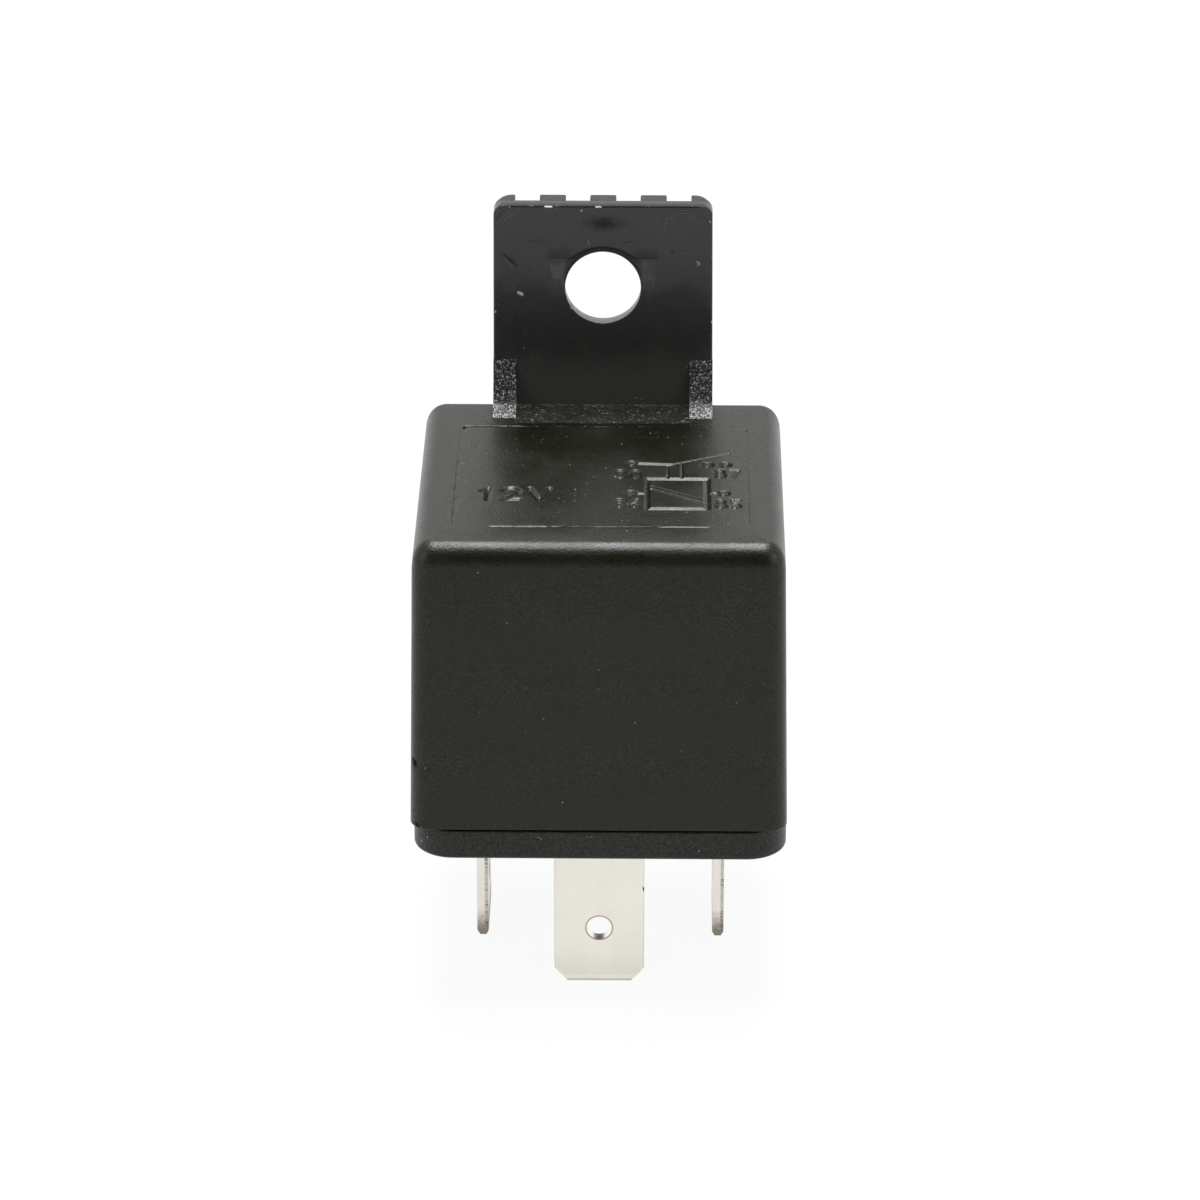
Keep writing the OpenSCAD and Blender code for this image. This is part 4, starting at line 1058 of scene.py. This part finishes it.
piece("cover_shell", [cover_body()], COVER_PLASTIC, replaces=["cover"])
piece("fixing_tab", [tab_plate()], TAB_PLASTIC)
piece("tab_ribs", fixing_ribs(), COVER_PLASTIC)
piece("tab_gussets", [gusset(-1), gusset(1)], GRAINY_PLASTIC)
piece("engraved_panel", engraved_panel(), PANEL_PLASTIC, crease=60.0)
piece("base_flange", [base_flange()], BASE_PLASTIC, replaces=["base"])
piece("wound_wire", [winding()], COPPER, replaces=["coil_winding"])
spring = piece("leaf_spring", [leaf_spring()], BRONZE, body=None,
               replaces=["contact_spring"])
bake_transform(spring)

NODE_FINISHES = [(TIN, ["terminal_30", "terminal_85", "terminal_86", "terminal_87"]),
                 (ZINC, ["yoke", "armature", "rest_stop"]),
                 (BRIGHT, ["core", "armature_rivets", "spring_rivets"]),
                 (SILVER, ["moving_contact", "fixed_contact"]),
                 (COPPER, ["coil_lead_start", "coil_lead_end"]),
                 (BOBBIN, ["bobbin"]), (TAPE, ["coil_tape"])]
for coating, node_names in NODE_FINISHES:
    for node_name in node_names:
        for slot in frame["nodes"][node_name].material_slots:
            slot.material = coating


# ---------------------------------------------------------------- floor, light and camera

def floor_material(name, colour, veil):
    """Pale surface: matt for the light it throws on the object, near white for the camera and in
    reflections, so that it keeps a faint shadow."""
    material = bpy.data.materials.new(name)
    t = empty_tree(material)
    matt = t.node("ShaderNodeBsdfDiffuse", Color=(*colour, 1))
    glow = t.node("ShaderNodeEmission", Color=(1, 1, 1, 1), Strength=1.0)
    rays = t.node("ShaderNodeLightPath").outputs
    seen = t.math("MAXIMUM", t.math("MAXIMUM", rays["Is Camera Ray"], rays["Is Glossy Ray"]),
                  rays["Is Transmission Ray"])
    both = t.node("ShaderNodeMixShader", Fac=t.times(seen, veil))
    t.put(both.inputs[1], matt.outputs[0])
    t.put(both.inputs[2], glow.outputs[0])
    t.node("ShaderNodeOutputMaterial", Surface=both.outputs[0])
    return material


def studio_world(fill):
    """White for the camera, a plain fill on the object, and in reflections white behind the
    object that fades to dark in front of it."""
    world = bpy.data.worlds.new("studio")
    t = empty_tree(world)
    rays = t.node("ShaderNodeLightPath").outputs
    mirrored = t.math("MAXIMUM", rays["Is Glossy Ray"], rays["Is Transmission Ray"])
    _, back, _ = t.split(t.node("ShaderNodeTexCoord").outputs["Object"])
    white = t.ramp(back, -0.85, -0.15, 0.06, 1.0)
    level = t.math("ADD", rays["Is Camera Ray"], t.times(mirrored, white))
    rest = t.math("SUBTRACT", 1.0, t.math("ADD", rays["Is Camera Ray"], mirrored), clamp=True)
    sky = t.node("ShaderNodeBackground", Color=(1, 1, 1, 1),
                 Strength=t.math("MULTIPLY_ADD", rest, fill, level))
    t.node("ShaderNodeOutputWorld", Surface=sky.outputs[0])
    return world


def softbox(name, place, aim, size, power):
    """Oblong lamp, size wide and deep, that faces the point aim."""
    lamp = bpy.data.lights.new(name, "AREA")
    lamp.shape, lamp.size, lamp.size_y, lamp.energy = "RECTANGLE", *size, power
    obj = bpy.data.objects.new(name, lamp)
    obj.location = place
    obj.rotation_euler = (Vector(aim) - Vector(place)).to_track_quat("-Z", "Y").to_euler()
    scene.collection.objects.link(obj)


floor_mesh = bpy.data.meshes.new("floor")
floor_mesh.from_pydata([(-3, -3, 0), (3, -3, 0), (3, 3, 0), (-3, 3, 0)], [], [(0, 1, 2, 3)])
floor_mesh.materials.append(floor_material("pale_floor", (0.86, 0.86, 0.85), 0.93))
floor = bpy.data.objects.new("floor", floor_mesh)
scene.collection.objects.link(floor)
scene.world = studio_world(0.42)
softbox("overhead", (0.0, 0.12, 0.53), (0, 0.11999, 0.03), (0.22, 0.46), 5.0)
softbox("left_fill", (-0.55, -0.35, 0.30), (0, 0, 0.03), (0.35, 0.35), 0.8)
softbox("right_fill", (0.55, -0.35, 0.30), (0, 0, 0.03), (0.35, 0.35), 0.8)

# Camera: turned and raised angles, distance to its aim in millimetres, and its lens, whose focal
# length and optical centre are given in picture units of a frame IMAGE_SIZE wide
YAW, RISE = math.radians(-0.731), math.radians(24.997)
DISTANCE, AIM = 380.865, (0, 0, 26)
IMAGE_SIZE, FOCAL, CENTRE, SENSOR = 1200.0, 5432.09, (600.888, 593.273), 36.0
right = Vector((math.cos(YAW), -math.sin(YAW), 0))
ahead = Vector((math.cos(RISE) * math.sin(YAW), math.cos(RISE) * math.cos(YAW), -math.sin(RISE)))
up = right.cross(ahead)
eye = (Vector(AIM) - ahead * DISTANCE) / 1000
camera_data = bpy.data.cameras.new("camera")
camera_data.sensor_width = SENSOR
camera_data.lens = FOCAL / IMAGE_SIZE * SENSOR
camera_data.shift_x = -(CENTRE[0] - IMAGE_SIZE / 2) / IMAGE_SIZE
camera_data.shift_y = (CENTRE[1] - IMAGE_SIZE / 2) / IMAGE_SIZE
camera_data.clip_start, camera_data.clip_end = 0.01, 20.0
camera = bpy.data.objects.new("camera", camera_data)
axes = [(*axis, 0) for axis in (right, up, -ahead)]
camera.matrix_world = Matrix(axes + [(*eye, 1)]).transposed()
scene.collection.objects.link(camera)
bpy.context.scene.camera = camera

scene.view_settings.view_transform = "Standard"
